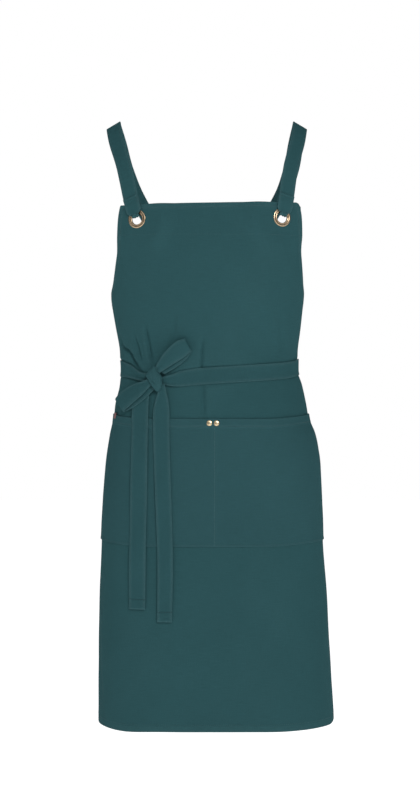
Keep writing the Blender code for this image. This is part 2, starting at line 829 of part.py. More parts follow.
def build_tab(look):
    near = 1.5 * CLOTH + 2.0 * GAP
    thick = 0.6 * CLOTH
    step = PANEL_HALF / PANEL_COLUMNS
    middle = -(POCKET_COLUMNS - 4.5) * step
    top = cloth_drop(middle / PANEL_HALF, POCKET_TOP) - 2.0 * GAP
    outer, inner = [], []
    for z in (top, top - TAB_HEIGHT):
        places = [(middle - TAB_WIDTH / 2, z), (middle + TAB_WIDTH / 2, z)]
        outer.append([laid(a, b, near + thick) for a, b in places])
        inner.append([laid(a, b, near) for a, b in places])
    return shell("side_tab", outer, inner, look)


def main():
    clear_scene()
    cloth = material("cloth", COLOURS["cloth"], 0.88)
    pocket_cloth = material("cloth_pocket", COLOURS["cloth_pocket"], 0.88)
    strap_cloth = material("strap_cloth", COLOURS["strap"], 0.88)
    tie_cloth = material("tie_cloth", COLOURS["tie"], 0.88)
    brass = material("antique_brass", COLOURS["brass"], 0.38, 1.0)
    pale_brass = material("pale_brass", COLOURS["pale_brass"], 0.30, 1.0)
    tab_cloth = material("tab_cloth", COLOURS["tab"], 0.75)

    panel = build_panel(cloth)
    pocket = build_pocket(pocket_cloth)
    for label, side in (("left", 1), ("right", -1)):
        centre, axis = eyelet_frame(side)
        radius = EYELET_HOLE + EYELET_WALL + GAP
        cut_hole(panel, "cut_eyelet_" + label, centre, axis, radius, 0.006, 32)
        build_eyelet("eyelet_" + label, side, brass)
    for label, offset in (("left", 0.5), ("right", -0.5)):
        across = RIVET_MIDDLE + offset * RIVET_PITCH
        centre = worn(across, -RIVET_DROP)
        axis = normal_of(worn, across, -RIVET_DROP)
        for sheet in (panel, pocket):
            cutter = "cut_rivet_" + label + "_" + sheet.name
            cut_hole(sheet, cutter, centre, axis, RIVET_SHANK + GAP, 0.006, 16)
        build_rivet("pocket_rivet_" + label, across, pale_brass)

    build_strap("shoulder_strap_left", 1, strap_cloth, 0.0)
    build_strap("shoulder_strap_right", -1, strap_cloth, STRAP_THICK + 2.0 * GAP)
    build_tie("waist_tie_left", tie_cloth, 0.0)
    build_tie("waist_tie_right", tie_cloth, TIE_THICK + 2.0 * GAP)
    build_tail("tie_tail_left", TAIL_LONG, tie_cloth)
    build_tail("tie_tail_right", TAIL_SHORT, tie_cloth)
    build_loop("bow_loop_upper", tie_cloth)
    build_loop("bow_loop_lower", tie_cloth)
    build_knot(tie_cloth)
    build_tab(tab_cloth)


main()
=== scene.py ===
"""Looks of the cross back apron, laid out as a Blender add-on and run as a script.

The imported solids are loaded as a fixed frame. Every cloth piece is made again
from the same measures, with its hems, seams, creases, weave and stitches, and
the eyelets and rivets are turned again with their finish.
"""
import math

import bmesh
import bpy
import numpy as np
from mathutils import Matrix, Vector


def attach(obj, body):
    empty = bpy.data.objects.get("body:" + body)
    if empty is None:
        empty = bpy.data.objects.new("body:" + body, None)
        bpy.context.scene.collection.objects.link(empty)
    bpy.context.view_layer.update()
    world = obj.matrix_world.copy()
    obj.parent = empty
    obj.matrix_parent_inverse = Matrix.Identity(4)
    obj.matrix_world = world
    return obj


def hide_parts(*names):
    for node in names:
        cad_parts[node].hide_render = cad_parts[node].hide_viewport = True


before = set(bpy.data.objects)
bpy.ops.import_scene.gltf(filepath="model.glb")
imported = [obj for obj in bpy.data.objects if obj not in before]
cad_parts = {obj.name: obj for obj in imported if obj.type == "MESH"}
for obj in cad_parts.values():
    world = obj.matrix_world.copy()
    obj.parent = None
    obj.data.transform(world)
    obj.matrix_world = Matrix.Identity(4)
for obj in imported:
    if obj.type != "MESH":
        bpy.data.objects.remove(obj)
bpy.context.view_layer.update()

bl_info = {
    "name": "Cross back apron looks",
    "version": (1, 0, 0),
    "blender": (4, 5, 0),
    "location": "3D View > Sidebar > Apron",
    "description": "Canvas, seams, bow and fittings of a cross back apron",
    "category": "Object",
}

# Measures shared with the solids, in metres
DROP = 1.045
FORM_WIDTH = 0.200
FORM_DEPTH = 0.130
CLOTH = 0.0012
GAP = 0.0003
PANEL_HALF = 0.330
BIB_TOP = 0.150
WAIST_CORNER = 0.395
POCKET_TOP = 0.516
POCKET_BOTTOM = 0.7338
POCKET_HALF = 0.264
SIDE_RISE = 0.008
STRAP_WIDTH = 0.0282
STRAP_THICK = 0.0016
TIE_WIDTH = 0.029
TIE_THICK = 0.0014
TIE_CLEAR = 0.0005
EYELET_ACROSS = {1: 0.1244, -1: 0.1262}
EYELET_DROP = {1: 0.1720, -1: 0.1747}
EYELET_HOLE = 0.0095
EYELET_RIM = 0.0160
EYELET_WALL = 0.0009
EYELET_FRONT = 0.0016
EYELET_BACK = 0.0010
FLAT_AROUND_EYELET = 0.039
RIVET_HEAD = 0.00475
RIVET_SHANK = 0.0018
RIVET_DOME = 0.0014
RIVET_DROP = 0.5237
RIVET_PITCH = 0.012
RIVET_MIDDLE = 0.005
HOLE_REACH = 0.006
STRAPS = {"shoulder_strap_left": 1, "shoulder_strap_right": -1}
SHOULDER = {1: 0.1550, -1: 0.1660}
SHOULDER_SLOPE = math.radians(30.0)
STRAP_LEAN = {1: math.radians(15.5), -1: math.radians(20.5)}
KNOT_ACROSS = -0.0955
KNOT_DROP = 0.4490
KNOT_HEIGHT = 0.046
LOOP_LENGTH = 0.080
LOOP_LIFT = 0.0125
TURN_AWAY = 0.80
TAIL_LIFT = 0.0040
TAIL_ENDS = {"tie_tail_left": 0.8608, "tie_tail_right": 0.8400}
TIE_ROOT_DROP = 0.4125
TIE_ROOT_LAP = 0.025
STRAP_BEND = 0.48
STRAP_THROUGH = 1.36
TAB_ACROSS = -0.18975
TAB_STANDS = 0.0036
TAB_WIDTH = 0.010
TAB_HEIGHT = 0.010

# Small forms and seams that only the looks have
BIB_RISE = 0.0022
BIB_TILT = 0.0165
BIB_CORNER = {1: 0.0075, -1: 0.0018}
HEM_DROP = 0.0011
UNEVEN_FINE = 0.00025
UNEVEN_BROAD = 0.00035
RELIEF_MOST = 0.0016
SEAM_DENT = 0.00026
SEAM_DENT_WIDTH = 0.0009
SEAM_PUCKER = 0.00016
PLEAT_DEPTH = 0.0021
HEM_WIDTH = 0.0085
HEM_SEAM = 0.0070
HEM_FOLD = 0.0008
BOTTOM_HEM = 0.0140
BOTTOM_SEAM = 0.0122
FACING_DEPTH = 0.0520
FACING_FOLD = 0.00022
POCKET_HEM = 0.0150
POCKET_SEAM = 0.0130
POCKET_EDGE_SEAM = 0.0030
POCKET_TURN_IN = 0.0042
POCKET_FOLD = 0.0005
DIVIDER = 0.0078
POCKET_FULLNESS = 0.0008
BAND_SEAM = 0.0026
TAIL_HEM = 0.0170
STRAP_END_SEAM = 0.0060
DIVIDER_STRETCH = 1.45
DIVIDER_DENTS = 0.0052
STITCH_WANDER = 0.08
STITCH_SEED = 7
KNOT_LEAN = math.radians(8.0)
THREAD_RUN = 0.04

# Camera as the photograph was taken, in pixels and metres, and the stage
PHOTO_FOCAL = 1765.0
PHOTO_HEIGHT = 800.0
SENSOR = 36.0
CAMERA_AWAY = 3.12
CAMERA_DROP = 0.484
AIM_DROP = 0.52
FLOOR_REACH = 12.0
LIGHTS = (
    # name, place, size, share of the key light's power
    ("key light", (0.85, -3.0, 0.95), 0.8, 1.0),
    ("fill light", (-1.0, -3.0, 2.0), 2.6, 0.31),
    ("right edge light", (2.3, 1.5, 0.0), 1.6, 0.08),
    ("left edge light", (-2.2, 0.5, 1.2), 1.2, 0.22),
)

# Worn form: shares of DROP, FORM_WIDTH (towards -X and +X) and FORM_DEPTH
# (front and back), and how square the section is
FORM = (
    # drop, minus_x, plus_x, front, back, square
    (0.000, 0.890, 0.870, 0.620, 0.640, 2.90),
    (0.144, 0.905, 0.895, 0.908, 0.800, 2.90),
    (0.215, 0.910, 0.880, 0.938, 0.854, 2.85),
    (0.287, 0.872, 0.830, 0.915, 0.846, 2.70),
    (0.341, 0.825, 0.795, 0.862, 0.800, 2.55),
    (0.387, 0.784, 0.768, 0.815, 0.769, 2.45),
    (0.412, 0.776, 0.766, 0.808, 0.769, 2.50),
    (0.438, 0.792, 0.806, 0.823, 0.800, 2.50),
    (0.471, 0.833, 0.844, 0.854, 0.846, 2.60),
    (0.497, 0.845, 0.868, 0.875, 0.875, 2.65),
    (0.522, 0.873, 0.918, 0.892, 0.900, 2.70),
    (0.573, 0.909, 0.960, 0.915, 0.938, 2.80),
    (0.657, 0.943, 0.979, 0.938, 0.962, 2.90),
    (0.708, 0.954, 0.989, 0.957, 0.972, 2.95),
    (0.775, 0.970, 1.018, 0.977, 0.985, 3.00),
    (0.878, 0.979, 1.048, 1.008, 0.992, 3.00),
    (1.000, 0.981, 1.084, 1.038, 1.000, 3.00),
)
MINUS_AT, PLUS_AT, FRONT_AT, BACK_AT, SQUARE_AT = range(1, 6)
FORM_LEVELS = 1046
FORM_STEPS = 601

# Side edge of the bib: share of DROP, share of PANEL_HALF
BIB_EDGE = (
    # drop, half
    (0.143, 0.480),
    (0.150, 0.487),
    (0.170, 0.497),
    (0.190, 0.501),
    (0.224, 0.516),
    (0.240, 0.531),
    (0.256, 0.550),
    (0.272, 0.577),
    (0.287, 0.640),
    (0.316, 0.760),
    (0.344, 0.873),
    (0.378, 1.000),
    (1.000, 1.000),
)

# How far the hem rises (or sags, below zero), where and how widely in shares of PANEL_HALF
HEM_WAVES = (
    # rise, middle, reach
    (-0.0024, -0.44, 0.12),
    (-0.0010, 0.36, 0.12),
    (0.0006, -0.66, 0.07),
    (0.0032, -0.80, 0.06),
    (0.0014, 0.64, 0.09),
    (0.0064, 0.82, 0.09),
)

# Soft folds, the same as in the solids: shares of PANEL_HALF across, of DROP
# down, and their reach; depth in shares of FORM_DEPTH, inwards below zero
FOLDS = (
    # across, drop, half_width, half_length, depth
    (-0.045, 0.405, 0.055, 0.055, -0.020),
    (0.020, 0.420, 0.070, 0.090, 0.008),
    (-0.420, 0.395, 0.060, 0.035, -0.022),
    (-0.300, 0.385, 0.050, 0.035, -0.016),
    (0.300, 0.720, 0.120, 0.200, -0.014),
    (-0.640, 0.860, 0.110, 0.240, -0.016),
    (0.640, 0.860, 0.120, 0.240, 0.014),
    (-0.250, 0.960, 0.140, 0.120, 0.010),
)

# Creases that only the looks have, each along a line of points in shares of
# PANEL_HALF across and of DROP down; half width and depth in shares of
# FORM_DEPTH, and the lip that stands up beside it (below zero towards -X)
CREASES = (
    # half_width, depth, lip, line
    (0.028, 0.046, 0.55, ((-0.575, 0.345), (-0.518, 0.373), (-0.463, 0.3835),
                          (-0.424, 0.400), (-0.355, 0.420))),
    (0.020, 0.026, 0.35, ((-0.425, 0.350), (-0.400, 0.372), (-0.388, 0.386), (-0.368, 0.404))),
    (0.025, 0.040, -0.50, ((-0.352, 0.335), (-0.335, 0.365), (-0.319, 0.391), (-0.298, 0.410))),
    (0.022, 0.032, -0.65, ((-0.020, 0.356), (-0.032, 0.361), (-0.042, 0.372),
                           (-0.046, 0.409), (-0.040, 0.440))),
    (0.030, 0.020, 0.40, ((-0.040, 0.420), (-0.037, 0.440), (-0.035, 0.467), (-0.026, 0.500))),
    (0.040, 0.012, 0.40, ((-0.470, 0.425), (-0.500, 0.448), (-0.540, 0.476), (-0.560, 0.505))),
    (0.030, 0.012, 0.35, ((-0.240, 0.400), (-0.210, 0.380), (-0.190, 0.350), (-0.180, 0.318))),
    (0.034, 0.012, -0.40, ((0.420, 0.395), (0.395, 0.375), (0.380, 0.345), (0.380, 0.310))),
    (0.040, 0.009, 0.40, ((0.560, 0.420), (0.580, 0.445), (0.600, 0.480), (0.610, 0.520))),
    (0.050, 0.010, 0.55, ((-0.705, 0.800), (-0.689, 0.888), (-0.653, 0.944), (-0.640, 0.985))),
    (0.040, 0.010, 0.55, ((0.690, 0.490), (0.710, 0.514), (0.742, 0.581), (0.750, 0.640))),
)

# Waist ties from root to knot: the front measure in shares of PANEL_HALF, the
# drop in shares of DROP, the width in shares of TIE_WIDTH
TIE_PATHS = {
    "waist_tie_left": (
        # across, drop, width
        (1.000, 0.4290, 1.00),
        (0.900, 0.4275, 1.00),
        (0.780, 0.4165, 1.00),
        (0.650, 0.4068, 0.98),
        (0.400, 0.4150, 1.00),
        (0.050, 0.4225, 1.00),
        (-0.050, 0.4245, 1.00),
        (-0.150, 0.4285, 0.93),
        (-0.195, 0.4310, 0.72),
        (-0.250, 0.4320, 0.46),
        (-0.275, 0.4320, 0.42),
    ),
    "waist_tie_right": (
        (-1.000, 0.4290, 1.00),
        (-0.900, 0.4275, 1.00),
        (-0.780, 0.4190, 1.00),
        (-0.650, 0.4095, 1.00),
        (-0.540, 0.4112, 0.96),
        (-0.450, 0.4160, 0.80),
        (-0.355, 0.4255, 0.50),
        (-0.325, 0.4260, 0.44),
    ),
}

# Shoulder strap over the shoulder: out in shares of SHOULDER (on the +X and on
# the -X side), back in shares of FORM_DEPTH, drop in shares of BIB_TOP, face
# from front (0) to back (2)
STRAP_ARCH = (
    # out_plus, out_minus, back, drop, face
    (0.903, 0.897, -0.600, 0.540, 0.15),
    (0.987, 0.985, -0.345, 0.230, 0.50),
    (1.020, 1.020, -0.140, 0.060, 0.85),
    (1.027, 1.027, 0.000, 0.000, 1.00),
    (1.018, 1.018, 0.150, 0.045, 1.15),
    (0.990, 0.980, 0.350, 0.190, 1.45),
    (0.945, 0.918, 0.530, 0.460, 1.80),
)
# Its way down the back, from the far waist corner: shares of the form's round
# beyond that corner, and of DROP
STRAP_BACK = (
    # beyond, drop, lift
    (0.930, 0.110, 1.0),
    (0.790, 0.165, 1.0),
    (0.600, 0.235, 1.0),
    (0.420, 0.290, 1.0),
    (0.240, 0.335, 0.6),
    (0.090, 0.372, -1.9),
    (-0.050, 0.402, -2.1),
)

# Bow loops: along in shares of LOOP_LENGTH, sideways and width in shares of
# TIE_WIDTH, lift in shares of LOOP_LIFT, turn of the width in degrees
LOOPS = {
    "bow_loop_upper": {
        "angle": 45.0,
        "rows": (
            # along, sideways, lift, width, turn
            (0.212, 0.137, 0.94, 0.44, -16.0),
            (0.300, 0.16, 1.05, 0.54, 0.0),
            (0.500, 0.19, 1.14, 0.78, 0.0),
            (0.700, 0.18, 1.12, 0.98, 0.0),
            (0.900, 0.15, 1.05, 1.04, -8.0),
            (0.990, 0.09, 0.98, 0.94, -14.0),
            (1.030, 0.04, 0.88, 0.89, -17.0),
            (1.042, 0.02, 0.74, 0.88, -17.0),
            (1.030, 0.01, 0.60, 0.88, -17.0),
            (0.980, 0.01, 0.54, 0.92, -14.0),
            (0.860, 0.00, 0.54, 1.00, -8.0),
            (0.660, -0.03, 0.56, 0.94, 0.0),
            (0.460, -0.05, 0.58, 0.72, 0.0),
            (0.240, -0.04, 0.60, 0.44, 0.0),
        ),
    },
    "bow_loop_lower": {
        "angle": 217.0,
        "rows": (
            (0.060, 0.080, 0.92, 0.42, -6.0),
            (0.180, 0.080, 0.96, 0.54, -3.0),
            (0.290, 0.070, 1.04, 0.72, 0.0),
            (0.400, 0.070, 1.08, 0.84, 0.0),
            (0.540, 0.070, 1.08, 0.90, 0.0),
            (0.690, 0.080, 1.03, 0.94, -1.0),
            (0.825, 0.110, 0.96, 0.90, 0.0),
            (0.880, 0.125, 0.88, 0.87, 0.0),
            (0.896, 0.130, 0.75, 0.87, 0.0),
            (0.882, 0.135, 0.64, 0.87, 0.0),
            (0.820, 0.170, 0.59, 0.89, 0.0),
            (0.700, 0.210, 0.58, 0.92, 0.0),
            (0.530, 0.250, 0.58, 0.88, 0.0),
            (0.400, 0.280, 0.58, 0.80, 0.0),
            (0.280, 0.310, 0.58, 0.66, 0.0),
            (0.060, 0.270, 0.60, 0.50, 0.0),
        ),
    },
}

# Hanging ends: across in shares of KNOT_ACROSS, down from the knot (0) to the
# end (1), width in shares of TIE_WIDTH, lift in shares of TAIL_LIFT
TAILS = {
    "tie_tail_left": (
        # across, down, width, lift
        (0.850, 0.015, 0.34, 1.9),
        (0.838, 0.050, 0.46, 1.5),
        (0.850, 0.090, 0.76, 1.1),
        (0.858, 0.135, 0.94, 1.1),
        (0.860, 0.210, 0.95, 1.1),
        (0.838, 0.400, 0.93, 1.1),
        (0.808, 0.600, 0.92, 1.1),
        (0.790, 0.800, 0.89, 1.1),
        (0.803, 1.000, 0.85, 1.1),
    ),
    "tie_tail_right": (
        (1.085, 0.020, 0.36, 1.0),
        (1.140, 0.050, 0.50, 1.0),
        (1.196, 0.090, 0.76, 1.0),
        (1.230, 0.135, 0.93, 1.1),
        (1.236, 0.210, 0.95, 1.1),
        (1.250, 0.400, 0.95, 1.1),
        (1.264, 0.600, 0.95, 1.1),
        (1.277, 0.800, 0.94, 1.1),
        (1.284, 1.000, 0.94, 1.1),
    ),
}

# Knot outline in shares of KNOT_HEIGHT from its middle, and its domes
KNOT_OUTLINE = (
    # across, up
    (0.100, 0.510),
    (0.215, 0.300),
    (0.335, 0.080),
    (0.355, -0.140),
    (0.330, -0.310),
    (0.230, -0.480),
    (0.120, -0.450),
    (0.000, -0.270),
    (-0.110, -0.060),
    (-0.195, 0.140),
    (-0.130, 0.270),
    (-0.010, 0.400),
)
KNOT_RINGS = (
    # scale, lift
    (0.80, 0.0056),
    (0.97, 0.0070),
    (1.00, 0.0105),
    (0.93, 0.0140),
    (0.72, 0.0165),
    (0.40, 0.0178),
    (0.00, 0.0181),
)

# Face of an eyelet from its hole outwards: shares of its ring's width and height
EYELET_FACE = (
    # out, up, wear
    (0.02, 0.45, 0.45), (0.06, 0.72, 0.70), (0.13, 0.88, 0.95), (0.21, 0.92, 1.00),
    (0.29, 0.86, 0.80), (0.35, 0.74, 0.35), (0.40, 0.70, 0.10), (0.46, 0.74, 0.10),
    (0.52, 0.86, 0.50), (0.60, 0.96, 0.90), (0.69, 1.00, 1.00), (0.78, 0.97, 0.95),
    (0.87, 0.88, 0.80), (0.94, 0.72, 0.60), (0.985, 0.45, 0.55), (1.00, 0.20, 0.50),
)

# Dome of a rivet from its rim inwards: shares of RIVET_HEAD and RIVET_DOME
RIVET_FACE = (
    # out, up, wear
    (1.00, 0.00, 0.1), (1.00, 0.20, 0.5), (0.97, 0.42, 0.8), (0.90, 0.56, 0.9),
    (0.82, 0.60, 0.6), (0.76, 0.66, 0.5), (0.62, 0.84, 0.8), (0.42, 0.97, 0.9),
    (0.20, 1.00, 1.0), (0.00, 1.00, 1.0),
)

# Lines of the grids near an edge, as metres in from it
SIDE_LINES = (0.0, 0.0004, 0.0010, 0.0022, 0.0042, 0.0058, 0.0066, 0.0074, 0.0082, 0.0092, 0.0115)
BOTTOM_LINES = (0.0, 0.0004, 0.0010, 0.0022, 0.0050, 0.0085, 0.0112, 0.0122, 0.0132, 0.0144, 0.0165)
POCKET_EDGE_LINES = (0.0, 0.0004, 0.0010, 0.0018, 0.0026, 0.0030, 0.0036, 0.0050)
POCKET_TOP_LINES = (0.0, 0.0004, 0.0010, 0.0022, 0.0060, 0.0100, 0.0122, 0.0130, 0.0138, 0.0150,
                    0.0162, 0.0180)
BAND_SHARES = (-1.0, -0.975, -0.93, -0.86, -0.81, -0.75, -0.55, -0.28, 0.0,
               0.28, 0.55, 0.75, 0.81, 0.86, 0.93, 0.975, 1.0)


# Reading of tables and smooth steps

def smooth_step(value):
    value = np.clip(value, 0.0, 1.0)
    return value * value * (3.0 - 2.0 * value)


def unit(vectors):
    length = np.linalg.norm(vectors, axis=-1, keepdims=True)
    return vectors / np.maximum(length, 1e-12)


def steps_along(points):
    return np.linalg.norm(np.diff(points, axis=0), axis=1)


def run_along(points):
    """Length so far along a line of points."""
    return np.concatenate(([0.0], np.cumsum(steps_along(points))))


def read_table(table, column, at, given=0):
    """Smooth reading of one column of a table against another."""
    rows = sorted((row[given], row[column]) for row in table)
    key = np.array([row[0] for row in rows])
    value = np.array([row[1] for row in rows])
    secant = np.diff(value) / np.diff(key)
    slope = np.concatenate((secant[:1], np.zeros(len(rows) - 2), secant[-1:]))
    product = secant[:-1] * secant[1:]
    total = np.where(product > 0.0, secant[:-1] + secant[1:], 1.0)
    slope[1:-1] = np.where(product > 0.0, 2.0 * product / total, 0.0)
    at = np.clip(np.asarray(at, float), key[0], key[-1])
    index = np.clip(np.searchsorted(key, at, side="right") - 1, 0, len(rows) - 2)
    span = key[index + 1] - key[index]
    t = (at - key[index]) / span
    return (value[index] * (1 + 2 * t) * (1 - t) ** 2 + slope[index] * span * t * (1 - t) ** 2
            + value[index + 1] * t * t * (3 - 2 * t) + slope[index + 1] * span * t * t * (t - 1))


def spline(points, cells, closed=False):
    """Catmull-Rom rows through the given rows of numbers."""
    points = np.asarray(points, float)
    count = len(points)
    t = (np.arange(cells) / cells)[:, None]
    rows = []
    for index in range(count if closed else count - 1):
        if closed:
            before, start, end, after = (points[(index + step) % count] for step in (-1, 0, 1, 2))
        else:
            before, start = points[max(index - 1, 0)], points[index]
            end, after = points[index + 1], points[min(index + 2, count - 1)]
        value = start * 2.0 + (end - before) * t
        value = value + (before * 2.0 - start * 5.0 + end * 4.0 - after) * t ** 2
        value = value + (start * 3.0 - before - end * 3.0 + after) * t ** 3
        rows.append(value * 0.5)
    if not closed:
        rows.append(points[-1:])
    return np.concatenate(rows)


# The worn form and what lies on it

def form_sections():
    """Half rounds and evenly spaced points of the form, level by level."""
    share = np.linspace(0.0, 1.0, FORM_LEVELS)
    angle = np.linspace(0.0, math.pi, FORM_STEPS)[None, :]
    even = np.linspace(0.0, 1.0, FORM_STEPS)
    power = 2.0 / read_table(FORM, SQUARE_AT, share)[:, None]
    front = read_table(FORM, FRONT_AT, share)[:, None] * FORM_DEPTH
    back = read_table(FORM, BACK_AT, share)[:, None] * FORM_DEPTH
    ahead = np.cos(angle)
    y = -np.sign(ahead) * np.abs(ahead) ** power * np.where(ahead > 0.0, front, back)
    rounds, points = [], []
    for side, column in ((-1.0, MINUS_AT), (1.0, PLUS_AT)):
        width = read_table(FORM, column, share)[:, None] * FORM_WIDTH
        x = side * width * np.abs(np.sin(angle)) ** power
        step = np.hypot(np.diff(x, axis=1), np.diff(y, axis=1))
        length = np.concatenate((np.zeros((FORM_LEVELS, 1)), np.cumsum(step, axis=1)), axis=1)
        rows = []
        for run, across, deep in zip(length, x, y):
            at = even * run[-1]
            rows.append(np.stack((np.interp(at, run, across), np.interp(at, run, deep)), axis=-1))
        rounds.append(length[:, -1])
        points.append(rows)
    return np.array(rounds), np.array(points)


ROUNDS, SECTION_POINTS = form_sections()


def half_rounds(z):
    level = np.clip(-np.asarray(z, float) / DROP, 0.0, 1.0) * (FORM_LEVELS - 1)
    low = np.minimum(level.astype(int), FORM_LEVELS - 2)
    part = level - low
    halves = ROUNDS[:, low] * (1.0 - part) + ROUNDS[:, low + 1] * part
    return halves[0], halves[1], low, part


def on_form(u, z):
    """Points of the plain form, u measured round it from the front middle."""
    u, z = np.broadcast_arrays(np.asarray(u, float), np.asarray(z, float))
    minus, plus, low, part = half_rounds(z)
    u = np.where(u > plus, u - plus - minus, u)
    u = np.where(u < -minus, u + plus + minus, u)
    side = (u >= 0.0).astype(int)
    reach = np.clip(np.abs(u) / np.where(side == 1, plus, minus), 0.0, 1.0) * (FORM_STEPS - 1)
    near = np.minimum(reach.astype(int), FORM_STEPS - 2)
    cut = reach - near
    flat = np.zeros(u.shape + (2,))
    for level, level_share in ((low, 1.0 - part), (low + 1, part)):
        for step, step_share in ((near, 1.0 - cut), (near + 1, cut)):
            flat += SECTION_POINTS[side, level, step] * (level_share * step_share)[..., None]
    return np.concatenate((flat, z[..., None]), axis=-1)


def normal_of(place, u, z, reach=0.004):
    along = place(u + reach, z) - place(u - reach, z)
    up = place(u, z + reach) - place(u, z - reach)
    return unit(np.cross(along, up))


def folded(u, z):
    """The form with the soft folds of the cloth."""
    u, z = np.broadcast_arrays(np.asarray(u, float), np.asarray(z, float))
    depth = np.zeros(u.shape)
    for across, drop, half_width, half_length, fold_depth in FOLDS:
        a = (u / PANEL_HALF - across) / half_width
        b = (-z / DROP - drop) / half_length
        depth += fold_depth * FORM_DEPTH * np.exp(-a * a - b * b)
    return on_form(u, z) + normal_of(on_form, u, z) * depth[..., None]


def eyelet_frame(side):
    centre = on_form(side * EYELET_ACROSS[side], -EYELET_DROP[side])
    return centre, normal_of(on_form, side * EYELET_ACROSS[side], -EYELET_DROP[side])


EYELETS = {side: eyelet_frame(side) for side in (-1, 1)}


def worn(u, z):
    """The surface that the cloth lies on, flat where an eyelet clamps it."""
    u, z = np.broadcast_arrays(np.asarray(u, float), np.asarray(z, float))
    point = folded(u, z)
    for side, (centre, normal) in EYELETS.items():
        off = (point - centre) @ normal
        away = np.linalg.norm(point - centre - normal * off[..., None], axis=-1)
        hold = 1.0 - smooth_step((away - FLAT_AROUND_EYELET) / (0.8 * FLAT_AROUND_EYELET))
        hold = np.where(u * side >= 0.0, hold, 0.0)
        point = point - normal * (off * hold)[..., None]
    return point


def laid(u, z, lift):
    return worn(u, z) + normal_of(worn, u, z) * np.asarray(lift, float)[..., None]


def facing(x, z):
    """The form seen from the front, carried on straight where it turns away."""
    x, z = np.broadcast_arrays(np.asarray(x, float), np.asarray(z, float))
    share = -z / DROP
    wide = np.where(x > 0, read_table(FORM, PLUS_AT, share), read_table(FORM, MINUS_AT, share))
    front = read_table(FORM, FRONT_AT, share) * FORM_DEPTH
    square = read_table(FORM, SQUARE_AT, share)
    reach = np.abs(x) / (wide * FORM_WIDTH)
    held = np.minimum(reach, TURN_AWAY)
    left = 1.0 - held ** square
    slope = np.maximum(held, 1e-9) ** (square - 1.0) * left ** (1.0 / square - 1.0)
    return np.stack((x, -front * (left ** (1.0 / square) - slope * (reach - held)), z), axis=-1)


def hung(x, z, lift):
    return facing(x, z) + normal_of(facing, x, z) * np.asarray(lift, float)[..., None]


def crease_depth(u, z, half_width, depth, lip, line):
    """Relief of one crease: a groove along its line with a lip on one side."""
    line = spline(line, 6) * np.array((PANEL_HALF, -DROP))
    steps = steps_along(line)
    runs = run_along(line)
    best = np.full(u.shape, 1e9)
    signed = np.zeros(u.shape)
    along = np.zeros(u.shape)
    for start, end, run, step in zip(line, line[1:], runs, steps):
        way = (end - start) / step
        t = np.clip((u - start[0]) * way[0] + (z - start[1]) * way[1], 0.0, step)
        du = u - start[0] - way[0] * t
        dz = z - start[1] - way[1] * t
        off = np.hypot(du, dz)
        nearer = off < best
        best = np.where(nearer, off, best)
        signed = np.where(nearer, np.sign(du) * off, signed)
        along = np.where(nearer, run + t, along)
    wide = half_width * FORM_DEPTH
    t = along / runs[-1]
    window = smooth_step(t / 0.35) * smooth_step((1.0 - t) / 0.35)
    beside = (signed * np.sign(lip) - 1.7 * wide) / (1.2 * wide)
    shape = abs(lip) * np.exp(-beside ** 2) - np.exp(-(best / wide) ** 2)
    return depth * FORM_DEPTH * window * shape


def waist_distance(u, z):
    """How far above the middle of the waist ties a point lies, in half widths."""
    share = u / PANEL_HALF
    part = smooth_step((share + 0.30) / 0.04 + 0.5)
    drop, width = (
        read_table(TIE_PATHS["waist_tie_right"], column, share) * (1.0 - part)
        + read_table(TIE_PATHS["waist_tie_left"], column, share) * part
        for column in (1, 2)
    )
    half = width * TIE_WIDTH / 2
    return (drop * DROP + z) / half, half


def relief(u, z):
    """Creases, the fullness beside the ties and the unevenness of washed canvas."""
    depth = np.zeros(u.shape)
    for half_width, fold_depth, lip, line in CREASES:
        depth += crease_depth(u, z, half_width, fold_depth, lip, line)
    fine = np.sin(u * 71.0 + 1.3 * np.sin(z * 23.0)) * np.sin(z * 49.0 + 1.1 * np.sin(u * 31.0))
    depth += UNEVEN_FINE * fine
    depth += UNEVEN_BROAD * np.sin(u * 27.0 + 2.0 * np.sin(z * 9.0) + 0.6)
    away, half = waist_distance(u, z)
    off = (np.abs(away) - 1.0) * half
    hold = 1.0 - smooth_step((off + 0.0005) / 0.005)
    depth = np.where(depth > 0.0, depth * (1.0 - hold), depth)
    depth = np.minimum(depth, RELIEF_MOST)
    share = u / PANEL_HALF
    beside_knot = 0.0016 * np.exp(-((share + 0.47) / 0.16) ** 2)
    full = 0.0007 + beside_knot + 0.0011 * np.exp(-(share / 0.14) ** 2)
    full = full * np.where(away > 0.0, 1.0, 0.55) * (0.8 + 0.2 * np.sin(u * 57.0))
    front = 1.0 - smooth_step((np.abs(share) - 0.86) / 0.12)
    swell = smooth_step(off / 0.0050) * np.exp(-np.clip(off - 0.004, 0.0, None) / 0.014)
    return depth + full * front * swell


def canvas(u, z):
    """Middle of the apron's cloth with its creases."""
    u, z = np.broadcast_arrays(np.asarray(u, float), np.asarray(z, float))
    return worn(u, z) + normal_of(worn, u, z) * relief(u, z)[..., None]


def cloth_level(share, drop):
    """Level of the panel's own rows, drawn up a little at the hips."""
    window = np.exp(-((drop - POCKET_TOP) / (0.4 * DROP)) ** 2)
    window = window * smooth_step((drop - WAIST_CORNER - 0.07) / 0.05)
    window = window * smooth_step((DROP - drop) / 0.25)
    return -drop + SIDE_RISE * window * smooth_step((np.abs(share) - 0.3) / 0.4)


def bib_rise(u):
    """The bib's top edge stands a little higher towards the wearer's left."""
    return BIB_RISE + BIB_TILT * u


def hem_sag(u):
    """How far the hem hangs below its level."""
    share = u / PANEL_HALF
    waves = (rise * np.exp(-((share - middle) / reach) ** 2) for rise, middle, reach in HEM_WAVES)
    return HEM_DROP - sum(waves)


